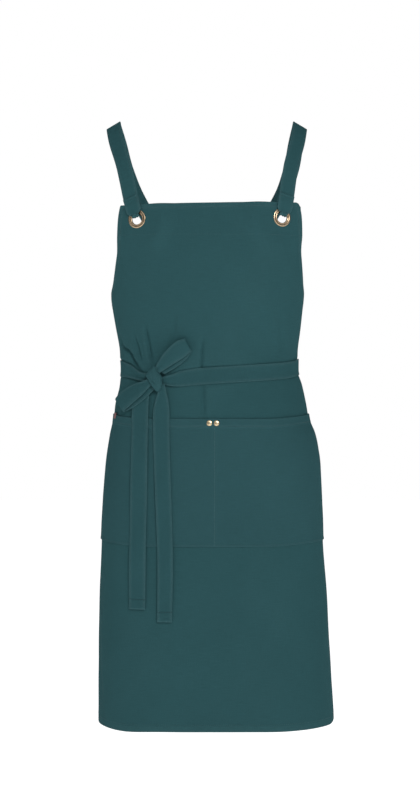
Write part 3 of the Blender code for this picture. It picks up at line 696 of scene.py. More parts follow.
def seam_ripple(distance, along, reach=0.006):
    """Puckers of the cloth along a seam."""
    wave = np.sin(along * 262.0 + 1.9 * np.sin(along * 83.0))
    return SEAM_PUCKER * wave * np.exp(-(distance / reach) ** 2)


def seam_groove(distance):
    return SEAM_DENT * np.exp(-(distance / SEAM_DENT_WIDTH) ** 2)


# Meshes

def grid_normals(grid):
    down = np.gradient(grid, axis=0)
    along = np.gradient(grid, axis=1)
    return unit(np.cross(down, along))


def edge_round(distance, thick):
    """Share of the full thickness left at a distance in from a rounded edge."""
    inside = np.clip(distance / (0.6 * thick), 0.0, 1.0)
    return 0.30 + 0.70 * np.sqrt(1.0 - (1.0 - inside) ** 2)


def add_object(name, data):
    made = bpy.data.objects.new(name, data)
    bpy.context.scene.collection.objects.link(made)
    return made


def finished(name, mesh, look):
    """Smooth object of a mesh in one finish."""
    mesh.materials.append(look)
    mesh.shade_smooth()
    return add_object(name, mesh)


def cloth_body(name, middle, front, back, uv, wear, look):
    """Closed cloth between two faces that stand off a grid of middle points."""
    normal = grid_normals(middle)
    rows, columns = middle.shape[:2]
    count = rows * columns
    outer = (middle + normal * front[..., None]).reshape(-1, 3)
    inner = (middle - normal * back[..., None]).reshape(-1, 3)
    index = np.arange(count).reshape(rows, columns)
    corners = (index[:-1, :-1], index[1:, :-1], index[1:, 1:], index[:-1, 1:])
    faces = np.stack(corners, axis=-1).reshape(-1, 4)
    rim = np.concatenate((index[:, 0], index[-1, 1:], index[-2::-1, -1], index[0, -2:0:-1]))
    after = np.roll(rim, -1)
    sides = np.stack((after, rim, rim + count, after + count), axis=-1)
    polygons = np.concatenate((faces, faces[:, ::-1] + count, sides))
    mesh = bpy.data.meshes.new(name)
    mesh.from_pydata(np.concatenate((outer, inner)).tolist(), [], polygons.tolist())
    corner = np.zeros(len(mesh.loops), int)
    mesh.loops.foreach_get("vertex_index", corner)
    places = np.concatenate((uv.reshape(-1, 2), uv.reshape(-1, 2)))
    map_places = places[corner].astype(np.float32).ravel()
    mesh.uv_layers.new(name="weave").data.foreach_set("uv", map_places)
    worn_share = np.concatenate((wear.ravel(), wear.ravel())).astype(np.float32)
    mesh.attributes.new("wear", "FLOAT", "POINT").data.foreach_set("value", worn_share)
    return finished(name, mesh, look)


def turned(name, profile, centre, axis, steps, look, smooth_angle=40.0):
    """Closed body spun from (radius, height, wear) points round an axis."""
    axis = Vector(axis)
    place = axis.to_track_quat("Z", "Y").to_matrix().to_4x4()
    place.translation = Vector(centre)
    mesh = bpy.data.meshes.new(name)
    body = bmesh.new()
    share = body.verts.layers.float.new("wear")
    rings = []
    for radius, height, wear in profile:
        ring = []
        for step in range(1 if radius == 0.0 else steps):
            angle = 2.0 * math.pi * step / steps
            point = (radius * math.cos(angle), radius * math.sin(angle), height)
            vert = body.verts.new(place @ Vector(point))
            vert[share] = wear
            ring.append(vert)
        rings.append(ring)
    closed = profile[0][0] > 0.0
    pairs = list(zip(rings, rings[1:])) + ([(rings[-1], rings[0])] if closed else [])
    for low, high in pairs:
        for step in range(steps):
            after = (step + 1) % steps
            corners = []
            for ring, at in ((low, step), (low, after), (high, after), (high, step)):
                vert = ring[at % len(ring)]
                if vert not in corners:
                    corners.append(vert)
            body.faces.new(corners)
    bmesh.ops.recalc_face_normals(body, faces=body.faces[:])
    body.to_mesh(mesh)
    body.free()
    made = finished(name, mesh, look)
    mesh.set_sharp_from_angle(angle=math.radians(smooth_angle))
    return made


def plain_mesh(made):
    """Applies an object's modifiers to its mesh."""
    bpy.context.view_layer.update()
    depsgraph = bpy.context.evaluated_depsgraph_get()
    flat = bpy.data.meshes.new_from_object(made.evaluated_get(depsgraph), depsgraph=depsgraph)
    old = made.data
    made.modifiers.clear()
    made.data = flat
    flat.name = made.name
    bpy.data.meshes.remove(old)
    return made


def cut_holes(made, holes):
    """Round holes through a cloth body, each (centre, axis, radius)."""
    cutters = []
    for number, (centre, axis, radius) in enumerate(holes):
        corners = ((0.0, -1.0), (radius, -1.0), (radius, 1.0), (0.0, 1.0))
        profile = [(out, end * HOLE_REACH, 1.0) for out, end in corners]
        name = f"cutter_{made.name}_{number}"
        cutter = turned(name, profile, centre, axis, 40, made.data.materials[0])
        hole = made.modifiers.new(name, "BOOLEAN")
        hole.operation = "DIFFERENCE"
        hole.solver = "EXACT"
        hole.object = cutter
        cutters.append(cutter)
    plain_mesh(made)
    for cutter in cutters:
        mesh = cutter.data
        bpy.data.objects.remove(cutter)
        bpy.data.meshes.remove(mesh)
    return made


def keep(made, node):
    """Rides the one body and stands for its solid."""
    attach(made, "root")
    if node:
        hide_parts(node)
    return made


# Node trees

class Tree:
    """Short way of adding nodes and links to one node tree."""

    def __init__(self, tree):
        self.tree = tree
        self.column = 0

    def feed(self, socket, value):
        if isinstance(value, bpy.types.NodeSocket):
            self.tree.links.new(value, socket)
        else:
            socket.default_value = value

    def fill(self, node, values):
        """Links or sets the inputs of a node, by their names or numbers."""
        for name, value in values.items():
            self.feed(node.inputs[name], value)

    def node(self, kind, values=None, **settings):
        made = self.tree.nodes.new(kind)
        made.location = (self.column * 180.0, -40.0 * (self.column % 7))
        self.column += 1
        for name, value in settings.items():
            setattr(made, name, value)
        self.fill(made, values or {})
        return made

    def math(self, operation, *values, clamp=False):
        inputs = dict(enumerate(values))
        return self.node("ShaderNodeMath", inputs, operation=operation, use_clamp=clamp).outputs[0]

    def times(self, first, second):
        return self.math("MULTIPLY", first, second)

    def scaled(self, value, by, plus):
        return self.math("MULTIPLY_ADD", value, by, plus)

    def noise(self, vector, scale, detail=2.0, rough=0.5):
        inputs = {"Vector": vector, "Scale": scale, "Detail": detail, "Roughness": rough}
        return self.node("ShaderNodeTexNoise", inputs).outputs["Fac"]

    def join(self, x, y, z=0.0):
        return self.node("ShaderNodeCombineXYZ", {0: x, 1: y, 2: z}).outputs[0]

    def blend(self, factor, first, second):
        inputs = {0: factor, 6: first, 7: second}
        return self.node("ShaderNodeMix", inputs, data_type="RGBA").outputs[2]

    def bump(self, height, strength, distance):
        inputs = {"Height": height, "Strength": strength, "Distance": distance}
        return self.node("ShaderNodeBump", inputs).outputs[0]

    def group(self, name, values):
        return self.node("ShaderNodeGroup", values, node_tree=bpy.data.node_groups[name]).outputs


def new_group(name, inputs, outputs, kind="ShaderNodeTree"):
    """Empty node group with named sockets: its tree, its inputs and its end node."""
    group = bpy.data.node_groups.new(name, kind)
    for label, socket, default in inputs:
        made = group.interface.new_socket(
            name=label, in_out="INPUT", socket_type="NodeSocket" + socket)
        if default is not None:
            made.default_value = default
    for label, socket in outputs:
        group.interface.new_socket(name=label, in_out="OUTPUT", socket_type="NodeSocket" + socket)
    tree = Tree(group)
    return tree, tree.node("NodeGroupInput").outputs, tree.node("NodeGroupOutput")


def weave_group():
    """Plain weave on a map in metres: thread relief, which thread is on top, slubs."""
    tree, given, end = new_group(
        "Canvas Weave",
        (("Vector", "Vector", None), ("Threads", "Float", 1150.0), ("Slub", "Float", 0.5)),
        (("Height", "Float"), ("Warp", "Float"), ("Thread Tone", "Float")),
    )
    split = tree.node("ShaderNodeSeparateXYZ", {0: given["Vector"]}).outputs
    wander = tree.scaled(tree.noise(given["Vector"], 60.0), 0.9, -0.45)
    x = tree.math("ADD", tree.times(split[0], given["Threads"]), wander)
    y = tree.math("ADD", tree.times(split[1], given["Threads"]), wander)
    across = tree.math("SINE", tree.times(x, math.pi))
    along = tree.math("SINE", tree.times(y, math.pi))
    parity = tree.times(across, along)
    tones, heights = [], []
    for wave, over, place in (
        (across, 0.38, tree.join(x, tree.times(y, THREAD_RUN), 3.0)),
        (along, -0.38, tree.join(tree.times(x, THREAD_RUN), y, 7.0)),
    ):
        tone = tree.noise(place, 1.0)
        height = tree.times(tree.math("ABSOLUTE", wave), tree.scaled(parity, over, 0.62))
        slub = tree.times(tree.math("SUBTRACT", tone, 0.5), given["Slub"])
        tones.append(tone)
        heights.append(tree.math("ADD", height, slub))
    warp, weft = heights
    top = tree.math("MULTIPLY_ADD", tree.math("SUBTRACT", warp, weft), 3.0, 0.5, clamp=True)
    tone = tree.node("ShaderNodeMix", {0: top, 2: tones[1], 3: tones[0]}, data_type="FLOAT")
    height = tree.math("MAXIMUM", warp, weft)
    tree.fill(end, {"Height": height, "Warp": top, "Thread Tone": tone.outputs[0]})


def washed_group():
    """Colour and roughness of dyed canvas, paler where it is rubbed."""
    tree, given, end = new_group(
        "Washed Canvas",
        (("Vector", "Vector", None), ("Colour", "Color", (0.03, 0.08, 0.09, 1.0)),
         ("Warp", "Float", 0.5), ("Thread Tone", "Float", 0.5), ("Wear", "Float", 0.0),
         ("Fading", "Float", 0.5)),
        (("Colour", "Color"), ("Roughness", "Float")),
    )
    speckle = tree.noise(given["Vector"], 420.0, 3.0, 0.65)
    rubbed = tree.times(given["Wear"], tree.noise(given["Vector"], 160.0, 3.0, 0.6))
    rubbed = tree.times(rubbed, given["Fading"])
    tone = tree.scaled(tree.noise(given["Vector"], 7.0, 4.0, 0.6), 0.16, 0.92)
    for source, by, plus in (
        (given["Warp"], -0.16, 1.08),
        (given["Thread Tone"], 0.50, 0.75),
        (speckle, 0.22, 0.89),
        (rubbed, 1.1, 1.0),
    ):
        tone = tree.times(tone, tree.scaled(source, by, plus))
    shade = tree.node("ShaderNodeHueSaturation", {
        "Hue": 0.5, "Saturation": tree.scaled(rubbed, -0.45, 1.0), "Value": tone,
        "Color": given["Colour"]})
    tree.fill(end, {"Colour": shade.outputs[0], "Roughness": tree.scaled(speckle, 0.16, 0.78)})


def metal_group():
    """Brass that has darkened in its hollows and stayed bright where it is rubbed."""
    tree, given, end = new_group(
        "Rubbed Brass",
        (("Vector", "Vector", None), ("Bright", "Color", (0.7, 0.5, 0.3, 1.0)),
         ("Dark", "Color", (0.2, 0.12, 0.06, 1.0)), ("Wear", "Float", 0.5),
         ("Polish", "Float", 0.3)),
        (("Colour", "Color"), ("Roughness", "Float"), ("Height", "Float")),
    )
    stain = tree.math("SUBTRACT", tree.noise(given["Vector"], 240.0, 4.0, 0.6), 0.5)
    fine = tree.noise(given["Vector"], 1900.0)
    share = tree.math("MULTIPLY_ADD", stain, 1.3, given["Wear"], clamp=True)
    dull = tree.math("ADD", tree.scaled(share, -0.22, 0.52), tree.scaled(fine, 0.12, -0.06))
    tree.fill(end, {
        "Colour": tree.blend(share, given["Dark"], given["Bright"]),
        "Roughness": tree.math("SUBTRACT", dull, tree.times(given["Polish"], 0.2)),
        "Height": fine})


def stitch_group():
    """Geometry nodes that lay separate stitches along drawn seam lines."""
    tree, given, end = new_group(
        "Stitch Row",
        (("Seams", "Geometry", None), ("Pitch", "Float", 0.0035), ("Length", "Float", 0.0027),
         ("Thickness", "Float", 0.0006), ("Wander", "Float", 0.08), ("Seed", "Int", 7),
         ("Thread", "Material", None)),
        (("Stitches", "Geometry"),),
        "GeometryNodeTree",
    )
    lines = tree.node("GeometryNodeMeshToCurve", {"Mesh": given["Seams"]})
    spaced = tree.node("GeometryNodeResampleCurve",
                       {"Curve": lines.outputs[0], "Length": given["Pitch"]}, mode="LENGTH")
    bead = tree.node("GeometryNodeMeshUVSphere", {"Segments": 6, "Rings": 5, "Radius": 1.0})
    facing_out = tree.node("GeometryNodeInputNamedAttribute", {"Name": "facing"},
                           data_type="FLOAT_VECTOR")
    tangent = tree.node("GeometryNodeInputTangent")
    along = tree.node("FunctionNodeAlignRotationToVector", {"Vector": tangent.outputs[0]}, axis="X")
    upright = tree.node("FunctionNodeAlignRotationToVector",
                        {"Rotation": along.outputs[0], "Vector": facing_out.outputs[0]},
                        axis="Z", pivot_axis="X")
    sway = tree.node("FunctionNodeRandomValue", {"Seed": given["Seed"]}, data_type="FLOAT")
    low, high = (socket for socket in sway.inputs
                 if socket.enabled and socket.name in ("Min", "Max"))
    tree.feed(low, tree.times(given["Wander"], -1.0))
    tree.feed(high, given["Wander"])
    swayed = next(socket for socket in sway.outputs if socket.enabled)
    turn = tree.node("FunctionNodeEulerToRotation", {0: tree.join(0.0, 0.0, swayed)})
    turned_bead = tree.node("FunctionNodeRotateRotation",
                            {0: upright.outputs[0], 1: turn.outputs[0]}, rotation_space="LOCAL")
    half = tree.times(given["Thickness"], 0.5)
    rows = tree.node("GeometryNodeInstanceOnPoints", {
        "Points": spaced.outputs[0], "Instance": bead.outputs["Mesh"],
        "Rotation": turned_bead.outputs[0],
        "Scale": tree.join(tree.times(given["Length"], 0.5), half, tree.times(half, 0.75))})
    real = tree.node("GeometryNodeRealizeInstances", {0: rows.outputs[0]})
    smooth = tree.node("GeometryNodeSetShadeSmooth", {0: real.outputs[0]})
    finish = tree.node("GeometryNodeSetMaterial",
                       {"Geometry": smooth.outputs[0], "Material": given["Thread"]})
    tree.fill(end, {"Stitches": finish.outputs[0]})


def new_look(name, colour):
    """Plain finish with nodes: its tree and its shader."""
    look = bpy.data.materials.new(name)
    look.use_nodes = True
    look.diffuse_color = (*colour, 1.0)
    return Tree(look.node_tree), look.node_tree.nodes["Principled BSDF"]


def cloth_look(name, colour, threads, fading):
    """Dyed canvas with its weave, on the piece's own map in metres."""
    tree, shader = new_look(name, colour)
    uv = tree.node("ShaderNodeUVMap", uv_map="weave").outputs[0]
    wear = tree.node("ShaderNodeAttribute", attribute_name="wear").outputs["Fac"]
    weave = tree.group("Canvas Weave", {"Vector": uv, "Threads": threads, "Slub": 0.5})
    dyed = tree.group("Washed Canvas", {
        "Vector": uv, "Colour": (*colour, 1.0), "Warp": weave["Warp"],
        "Thread Tone": weave["Thread Tone"], "Wear": wear, "Fading": fading})
    tree.fill(shader, {
        "Base Color": dyed["Colour"], "Roughness": dyed["Roughness"],
        "Normal": tree.bump(weave["Height"], 0.55, 0.00035),
        "Specular IOR Level": 0.03, "Sheen Weight": 0.03, "Sheen Roughness": 0.5,
        "Sheen Tint": (0.12, 0.80, 0.90, 1.0)})


def thread_look(name, colour):
    """Sewing thread with a slight lustre."""
    tree, shader = new_look(name, colour)
    spot = tree.node("ShaderNodeTexCoord").outputs["Object"]
    shade = tree.scaled(tree.noise(spot, 900.0), 0.7, 0.65)
    hue = tree.node("ShaderNodeHueSaturation", {"Value": shade, "Color": (*colour, 1.0)})
    tree.fill(shader, {
        "Base Color": hue.outputs[0], "Roughness": 0.62, "Specular IOR Level": 0.3,
        "Normal": tree.bump(tree.noise(spot, 5200.0, 1.0), 0.4, 0.0001)})


def brass_look(name, bright, dark, polish):
    """Brass that is bright where it is rubbed."""
    tree, shader = new_look(name, bright)
    spot = tree.node("ShaderNodeTexCoord").outputs["Object"]
    wear = tree.node("ShaderNodeAttribute", attribute_name="wear").outputs["Fac"]
    metal = tree.group("Rubbed Brass", {
        "Vector": spot, "Bright": (*bright, 1.0), "Dark": (*dark, 1.0), "Wear": wear,
        "Polish": polish})
    tree.fill(shader, {
        "Base Color": metal["Colour"], "Roughness": metal["Roughness"], "Metallic": 1.0,
        "Normal": tree.bump(metal["Height"], 0.25, 0.00008)})


def looks():
    """Makes the shared node groups and the finishes once, and names them."""
    if "Canvas Weave" not in bpy.data.node_groups:
        for make_group in (weave_group, washed_group, metal_group, stitch_group):
            make_group()
        cloth = bpy.context.scene.apron_cloth
        metal = bpy.context.scene.apron_metal
        threads = cloth.threads_per_cm * 100.0
        for name, colour, fineness in (
            ("indigo canvas", cloth.panel_colour, 1.0),
            ("indigo canvas pocket", cloth.pocket_colour, 1.0),
            # The strap tape's colour is its dye with painted light added, a little paler than the
            # panel's.
            ("strap tape", cloth.strap_colour, 1.1),
            ("tie tape", cloth.tie_colour, 1.1),
            ("russet tab", cloth.tab_colour, 1.6),
        ):
            cloth_look(name, colour, threads * fineness, cloth.fading)
        thread_look("canvas thread", cloth.thread_colour)
        thread_look("pale thread", cloth.divider_thread_colour)
        thread_look("dark thread", cloth.end_thread_colour)
        brass_look("antique brass", metal.eyelet_bright, metal.eyelet_dark, 0.3)
        brass_look("pale brass", metal.rivet_bright, metal.rivet_dark, 0.2)
    return bpy.data.materials


# The pieces

def spaced_lines(stops, steps):
    """Even lines between stops, each stretch with its own step."""
    lines = [stops[0]]
    for start, end, step in zip(stops, stops[1:], steps):
        cells = max(1, round((end - start) / step))
        lines += [start + (end - start) * cell / cells for cell in range(1, cells + 1)]
    return lines


def panel_net():
    """Grid of the apron's cloth: how far round and down, and in from its edges."""
    top, bottom = BIB_TOP, DROP
    drops = [top + line for line in SIDE_LINES[:-1]]
    drops += spaced_lines(
        (top + SIDE_LINES[-1], top + FACING_DEPTH - 0.003, top + FACING_DEPTH + 0.003, 0.355, 0.470,
         bottom - BOTTOM_LINES[-1]),
        (0.0048, 0.001, 0.0052, 0.0026, 0.0060),
    )
    drops += [bottom - line for line in BOTTOM_LINES[-2::-1]]
    drops = np.array(drops)
    half = read_table(BIB_EDGE, 1, drops / DROP) * PANEL_HALF
    lean = np.sqrt(1.0 + np.gradient(half, drops) ** 2)
    inner = np.array(spaced_lines((-1.0, -0.56, 0.08, 1.0), (0.0165, 0.0085, 0.0165)))
    reach = SIDE_LINES[-1] * lean
    middle = inner[None, :] * (half - reach)[:, None]
    lines = np.array(SIDE_LINES[:-1])[None, :] * lean[:, None]
    left = -(half[:, None] - lines)
    right = (half[:, None] - lines)[:, ::-1]
    u = np.concatenate((left, middle, right), axis=1)
    drop = np.broadcast_to(drops[:, None], u.shape)
    side = (half[:, None] - np.abs(u)) / lean[:, None]
    return u, drop, side


def corner_drop(u, drop, side):
    """Turns the bib's corners, the wearer's left one rounder."""
    radius = np.where(u > 0.0, BIB_CORNER[1], BIB_CORNER[-1])
    short = np.clip(radius - side, 0.0, None)
    sink = radius - np.sqrt(np.clip(radius ** 2 - short ** 2, 0.0, None))
    return drop + sink * np.clip(1.0 - (drop - BIB_TOP) / 0.02, 0.0, 1.0)


def make_panel(look):
    u, drop, side = panel_net()
    top = drop - BIB_TOP
    bottom = DROP - drop
    z = cloth_level(u / PANEL_HALF, corner_drop(u, drop, side))
    z = z + bib_rise(u) * (1.0 - smooth_step(top / 0.045))
    z = z - hem_sag(u) * (1.0 - smooth_step(bottom / 0.10))
    ripple = seam_ripple(side - HEM_SEAM, drop) + seam_ripple(top - HEM_SEAM, u)
    ripple += seam_ripple(bottom - BOTTOM_SEAM, u) + seam_ripple(top - FACING_DEPTH, u)
    middle = canvas(u, z)
    middle = middle + grid_normals(middle) * ripple[..., None]
    near = np.minimum(np.minimum(side, top), bottom)
    left = edge_round(near, CLOTH)
    groove = seam_groove(side - HEM_SEAM) + seam_groove(top - HEM_SEAM)
    groove += 0.15 * seam_groove(bottom - BOTTOM_SEAM) - 0.25 * seam_groove(top - FACING_DEPTH)
    fold = 1.0 - smooth_step((np.minimum(side, top) - HEM_WIDTH) / 0.001)
    fold = np.maximum(fold, 1.0 - smooth_step((bottom - BOTTOM_HEM) / 0.001)) * HEM_FOLD
    facing_fold = FACING_FOLD * (1.0 - smooth_step((top - FACING_DEPTH - 0.002) / 0.001))
    fold = np.maximum(fold, facing_fold)
    front = (CLOTH / 2 - groove) * left
    back = (CLOTH / 2 - groove + fold) * left
    wear = np.exp(-near / 0.0014) + 0.45 * np.exp(-((near - HEM_SEAM) / 0.0022) ** 2)
    wear += 0.15 * np.clip(-relief(u, z) / -0.001, 0.0, 1.0)
    uv = np.stack((u, z), axis=-1)
    return cloth_body("canvas_panel", middle, front, back, uv, wear, look)


def pocket_lift(u, z):
    """How far the pocket's middle stands off the panel's middle."""
    down = np.clip((-z - POCKET_TOP) / (POCKET_BOTTOM - POCKET_TOP), 0.0, 1.0)
    swell = np.zeros(np.broadcast(u, z).shape)
    for start, end, share in ((-POCKET_HALF, DIVIDER, 0.4), (DIVIDER, POCKET_HALF, 1.0)):
        t = np.clip((u - start) / (end - start), 0.0, 1.0)
        swell = swell + share * np.sin(math.pi * t) ** 1.5
    return CLOTH + GAP + POCKET_FULLNESS * swell * (1.0 - down) ** 1.3


def pocket_cloth(u, z):
    return canvas(u, z) + normal_of(worn, u, z) * pocket_lift(u, z)[..., None]


def make_pocket(look):
    edge, hem = POCKET_EDGE_LINES, POCKET_TOP_LINES
    drops = [POCKET_TOP + line for line in hem[:-1]]
    drops += spaced_lines((POCKET_TOP + hem[-1], POCKET_BOTTOM - edge[-1]), (0.0013,))
    drops += [POCKET_BOTTOM - line for line in edge[-2::-1]]
    across = [-POCKET_HALF + line for line in edge[:-1]]
    across += spaced_lines(
        (-POCKET_HALF + edge[-1], DIVIDER - 0.006, DIVIDER + 0.006, POCKET_HALF - edge[-1]),
        (0.0066, 0.0010, 0.0066),
    )
    across += [POCKET_HALF - line for line in edge[-2::-1]]
    u, drop = np.meshgrid(np.array(across), np.array(drops))
    z = cloth_level(u / PANEL_HALF, drop)
    side = POCKET_HALF - np.abs(u)
    top = drop - POCKET_TOP
    bottom = POCKET_BOTTOM - drop
    near = np.minimum(np.minimum(side, top), bottom)
    seams = (side - POCKET_EDGE_SEAM, bottom - POCKET_EDGE_SEAM, top - POCKET_SEAM)
    groove = sum(seam_groove(distance) for distance in seams)
    dents = 0.6 + 0.4 * np.cos(2.0 * math.pi * (drop - POCKET_TOP) / DIVIDER_DENTS)
    groove = groove + 1.5 * seam_groove((u - DIVIDER) * 0.8) * dents * (top > 0.011)
    ripple = seam_ripple(side - POCKET_EDGE_SEAM, drop, 0.005)
    ripple += seam_ripple(bottom - POCKET_EDGE_SEAM, u, 0.007)
    ripple += seam_ripple(top - POCKET_SEAM, u, 0.007)
    ripple += seam_ripple(u - DIVIDER, drop, 0.007)
    middle = pocket_cloth(u, z)
    middle = middle + grid_normals(middle) * np.maximum(ripple, -0.0001)[..., None]
    left = edge_round(near, CLOTH)
    turned_in = 1.0 - smooth_step((np.minimum(side, bottom) - POCKET_TURN_IN) / 0.0008)
    turned_in = np.maximum(turned_in, 1.0 - smooth_step((top - POCKET_HEM) / 0.001))
    front = (CLOTH / 2 - groove + POCKET_FOLD * turned_in) * left
    back = CLOTH / 2 * left
    wear = 0.55 * np.exp(-near / 0.0016) + 0.4 * np.exp(-((top - POCKET_SEAM) / 0.002) ** 2)
    wear += 0.15 * np.exp(-((u - DIVIDER) / 0.004) ** 2)
    uv = np.stack((u + 0.013, z + 0.007), axis=-1)
    return cloth_body("canvas_pocket", middle, front, back, uv, wear, look)


def pleats(width, share, phase=0.0):
    """Gathers of a band drawn in to less than its width, always outwards."""
    gathered = np.clip(1.0 - width, 0.0, 1.0)
    return PLEAT_DEPTH * gathered * (0.5 + 0.5 * np.cos(share * 7.4 + phase))


def band_body(name, middle, thick, uv, width, look, end_hem=0.0):
    """Tape with rounded edges from a grid: along it in rows, across it in columns."""
    shares = np.abs(np.array(BAND_SHARES))[None, :]
    side = (1.0 - shares) * width[:, None] / 2
    run = run_along(middle[:, len(BAND_SHARES) // 2])
    ends = np.minimum(run, run[-1] - run)[:, None]
    near = np.minimum(side, ends + 0.0002)
    left = edge_round(near, thick)
    groove = seam_groove(side - BAND_SEAM) * 0.7
    if end_hem:
        groove = groove + 1.8 * seam_groove(0.6 * (run[-1] - run[:, None] - end_hem))
    half = (thick / 2 - groove) * left
    wear = np.exp(-near / 0.0012) + 0.4 * np.exp(-((side - BAND_SEAM) / 0.0016) ** 2)
    return cloth_body(name, middle, half, half, uv, np.broadcast_to(wear, left.shape), look)


def band_uv(middle, full_width, offset):
    run = run_along(middle[:, len(BAND_SHARES) // 2])
    across = np.array(BAND_SHARES)[None, :] * full_width / 2 + offset
    return np.stack(np.broadcast_arrays(across, run[:, None]), axis=-1)


def tie_stations(name):
    """How far round, how low, how wide and how far raised along a waist tie."""
    path = TIE_PATHS[name]
    side = 1 if path[0][0] > 0 else -1
    lifted = TIE_THICK + 2.0 * GAP if side < 0 else 0.0
    rows = []
    for t in np.linspace(0.0, 1.0, 10)[:-1]:
        rows.append((-side * (PANEL_HALF - TIE_ROOT_LAP * (1.0 - t)), TIE_ROOT_DROP, 1.0, 0.0))
    far_drop = path[0][1] * DROP
    for t in np.linspace(0.0, 1.0, 80)[:-1]:
        drop = TIE_ROOT_DROP + (far_drop - TIE_ROOT_DROP) * smooth_step(t)
        minus, plus, _, _ = half_rounds(-drop)
        beyond = (minus + plus - 2.0 * PANEL_HALF) * t
        raised = smooth_step(t / 0.14) * smooth_step((1.0 - t) / 0.14)
        rows.append((-side * (PANEL_HALF + beyond), drop, 1.0, raised * lifted))
    end = path[-1][0]
    for share in np.linspace(side, end, int(abs(side - end) * PANEL_HALF / 0.0030)):
        drop = read_table(path, 1, share) * DROP
        rows.append((share * PANEL_HALF, drop, read_table(path, 2, share), 0.0))
    return np.array(rows)


def tie_middle(name, shares):
    rows = tie_stations(name)
    u, drop, width, raised = (rows[:, [column]] for column in range(4))
    shares = np.asarray(shares)[None, :]
    z = -drop + shares * width * TIE_WIDTH / 2
    slack = 0.00035 * (1.0 + np.sin(u * 41.0 + 2.0 * np.sin(u * 17.0) + shares * 0.8))
    front = np.clip(1.0 - np.abs(u) / PANEL_HALF, 0.0, 1.0)
    height = CLOTH / 2 + TIE_CLEAR + TIE_THICK / 2 + raised + slack * smooth_step(front / 0.2)
    beside_knot = np.clip(1.0 - width, 0.0, 0.4) / 0.4
    crease = 0.0012 - 0.0014 * np.exp(-((shares + 0.55) / 0.16) ** 2)
    height = height + pleats(width, shares, 0.6) + crease * smooth_step(beside_knot)
    return laid(np.broadcast_to(u, z.shape), z, height), width[:, 0] * TIE_WIDTH


def make_tie(name, look):
    middle, width = tie_middle(name, BAND_SHARES)
    uv = band_uv(middle, TIE_WIDTH, 0.4)
    return band_body(name + "_tape", middle, TIE_THICK, uv, width, look)


def loop_grid(name, shares):
    loop = LOOPS[name]
    rows = spline(loop["rows"], 7)
    angle = math.radians(loop["angle"])
    run = np.array((math.cos(angle), math.sin(angle)))
    side = np.array((-run[1], run[0]))
    along, sideways, height, width, turn = (rows[:, [column]] for column in range(5))
    shares = np.asarray(shares)[None, :]
    x = KNOT_ACROSS + run[0] * along * LOOP_LENGTH + side[0] * sideways * TIE_WIDTH
    z = -KNOT_DROP + run[1] * along * LOOP_LENGTH + side[1] * sideways * TIE_WIDTH
    turned_to = angle + math.pi / 2 + np.radians(turn)
    half = width * TIE_WIDTH / 2
    in_front = np.clip(height - 0.7, 0.0, 1.0)
    cup = -0.0030 * shares ** 2 * in_front
    tall = height * LOOP_LIFT + cup + 2.0 * in_front * pleats(width, shares, 1.1)
    x = x + np.cos(turned_to) * shares * half
    z = z + np.sin(turned_to) * shares * half
    return hung(x, z, tall), width[:, 0] * TIE_WIDTH


def make_loop(name, look):
    middle, width = loop_grid(name, BAND_SHARES)
    uv = band_uv(middle, TIE_WIDTH, 0.6)
    return band_body(name + "_tape", middle, TIE_THICK, uv, width, look)


def tail_grid(name, shares):
    length = TAIL_ENDS[name] - KNOT_DROP
    hem = 1.0 - TAIL_HEM / length
    down = np.array(spaced_lines((0.020, 0.15, hem - 0.008, hem + 0.008, 1.0),
                                 (0.0055, 0.0075, 0.0020, 0.0075)))[:, None]
    table = TAILS[name]
    across = read_table(table, 0, down, 1)
    width = read_table(table, 2, down, 1)
    height = read_table(table, 3, down, 1) * TAIL_LIFT
    shares = np.asarray(shares)[None, :]
    z = -(KNOT_DROP + down * length) + 0.0 * shares
    x = across * KNOT_ACROSS + shares * width * TIE_WIDTH / 2
    sway = 0.0007 * (1.0 + np.sin(down * 17.0 + len(name) + shares * 1.2)) * smooth_step(down / 0.2)
    return hung(x, z, height + sway + pleats(width, shares, 0.3)), width[:, 0] * TIE_WIDTH


def make_tail(name, look):
    middle, width = tail_grid(name, BAND_SHARES)
    uv = band_uv(middle, TIE_WIDTH, 0.8)
    return band_body(name + "_tape", middle, TIE_THICK, uv, width, look, TAIL_HEM)


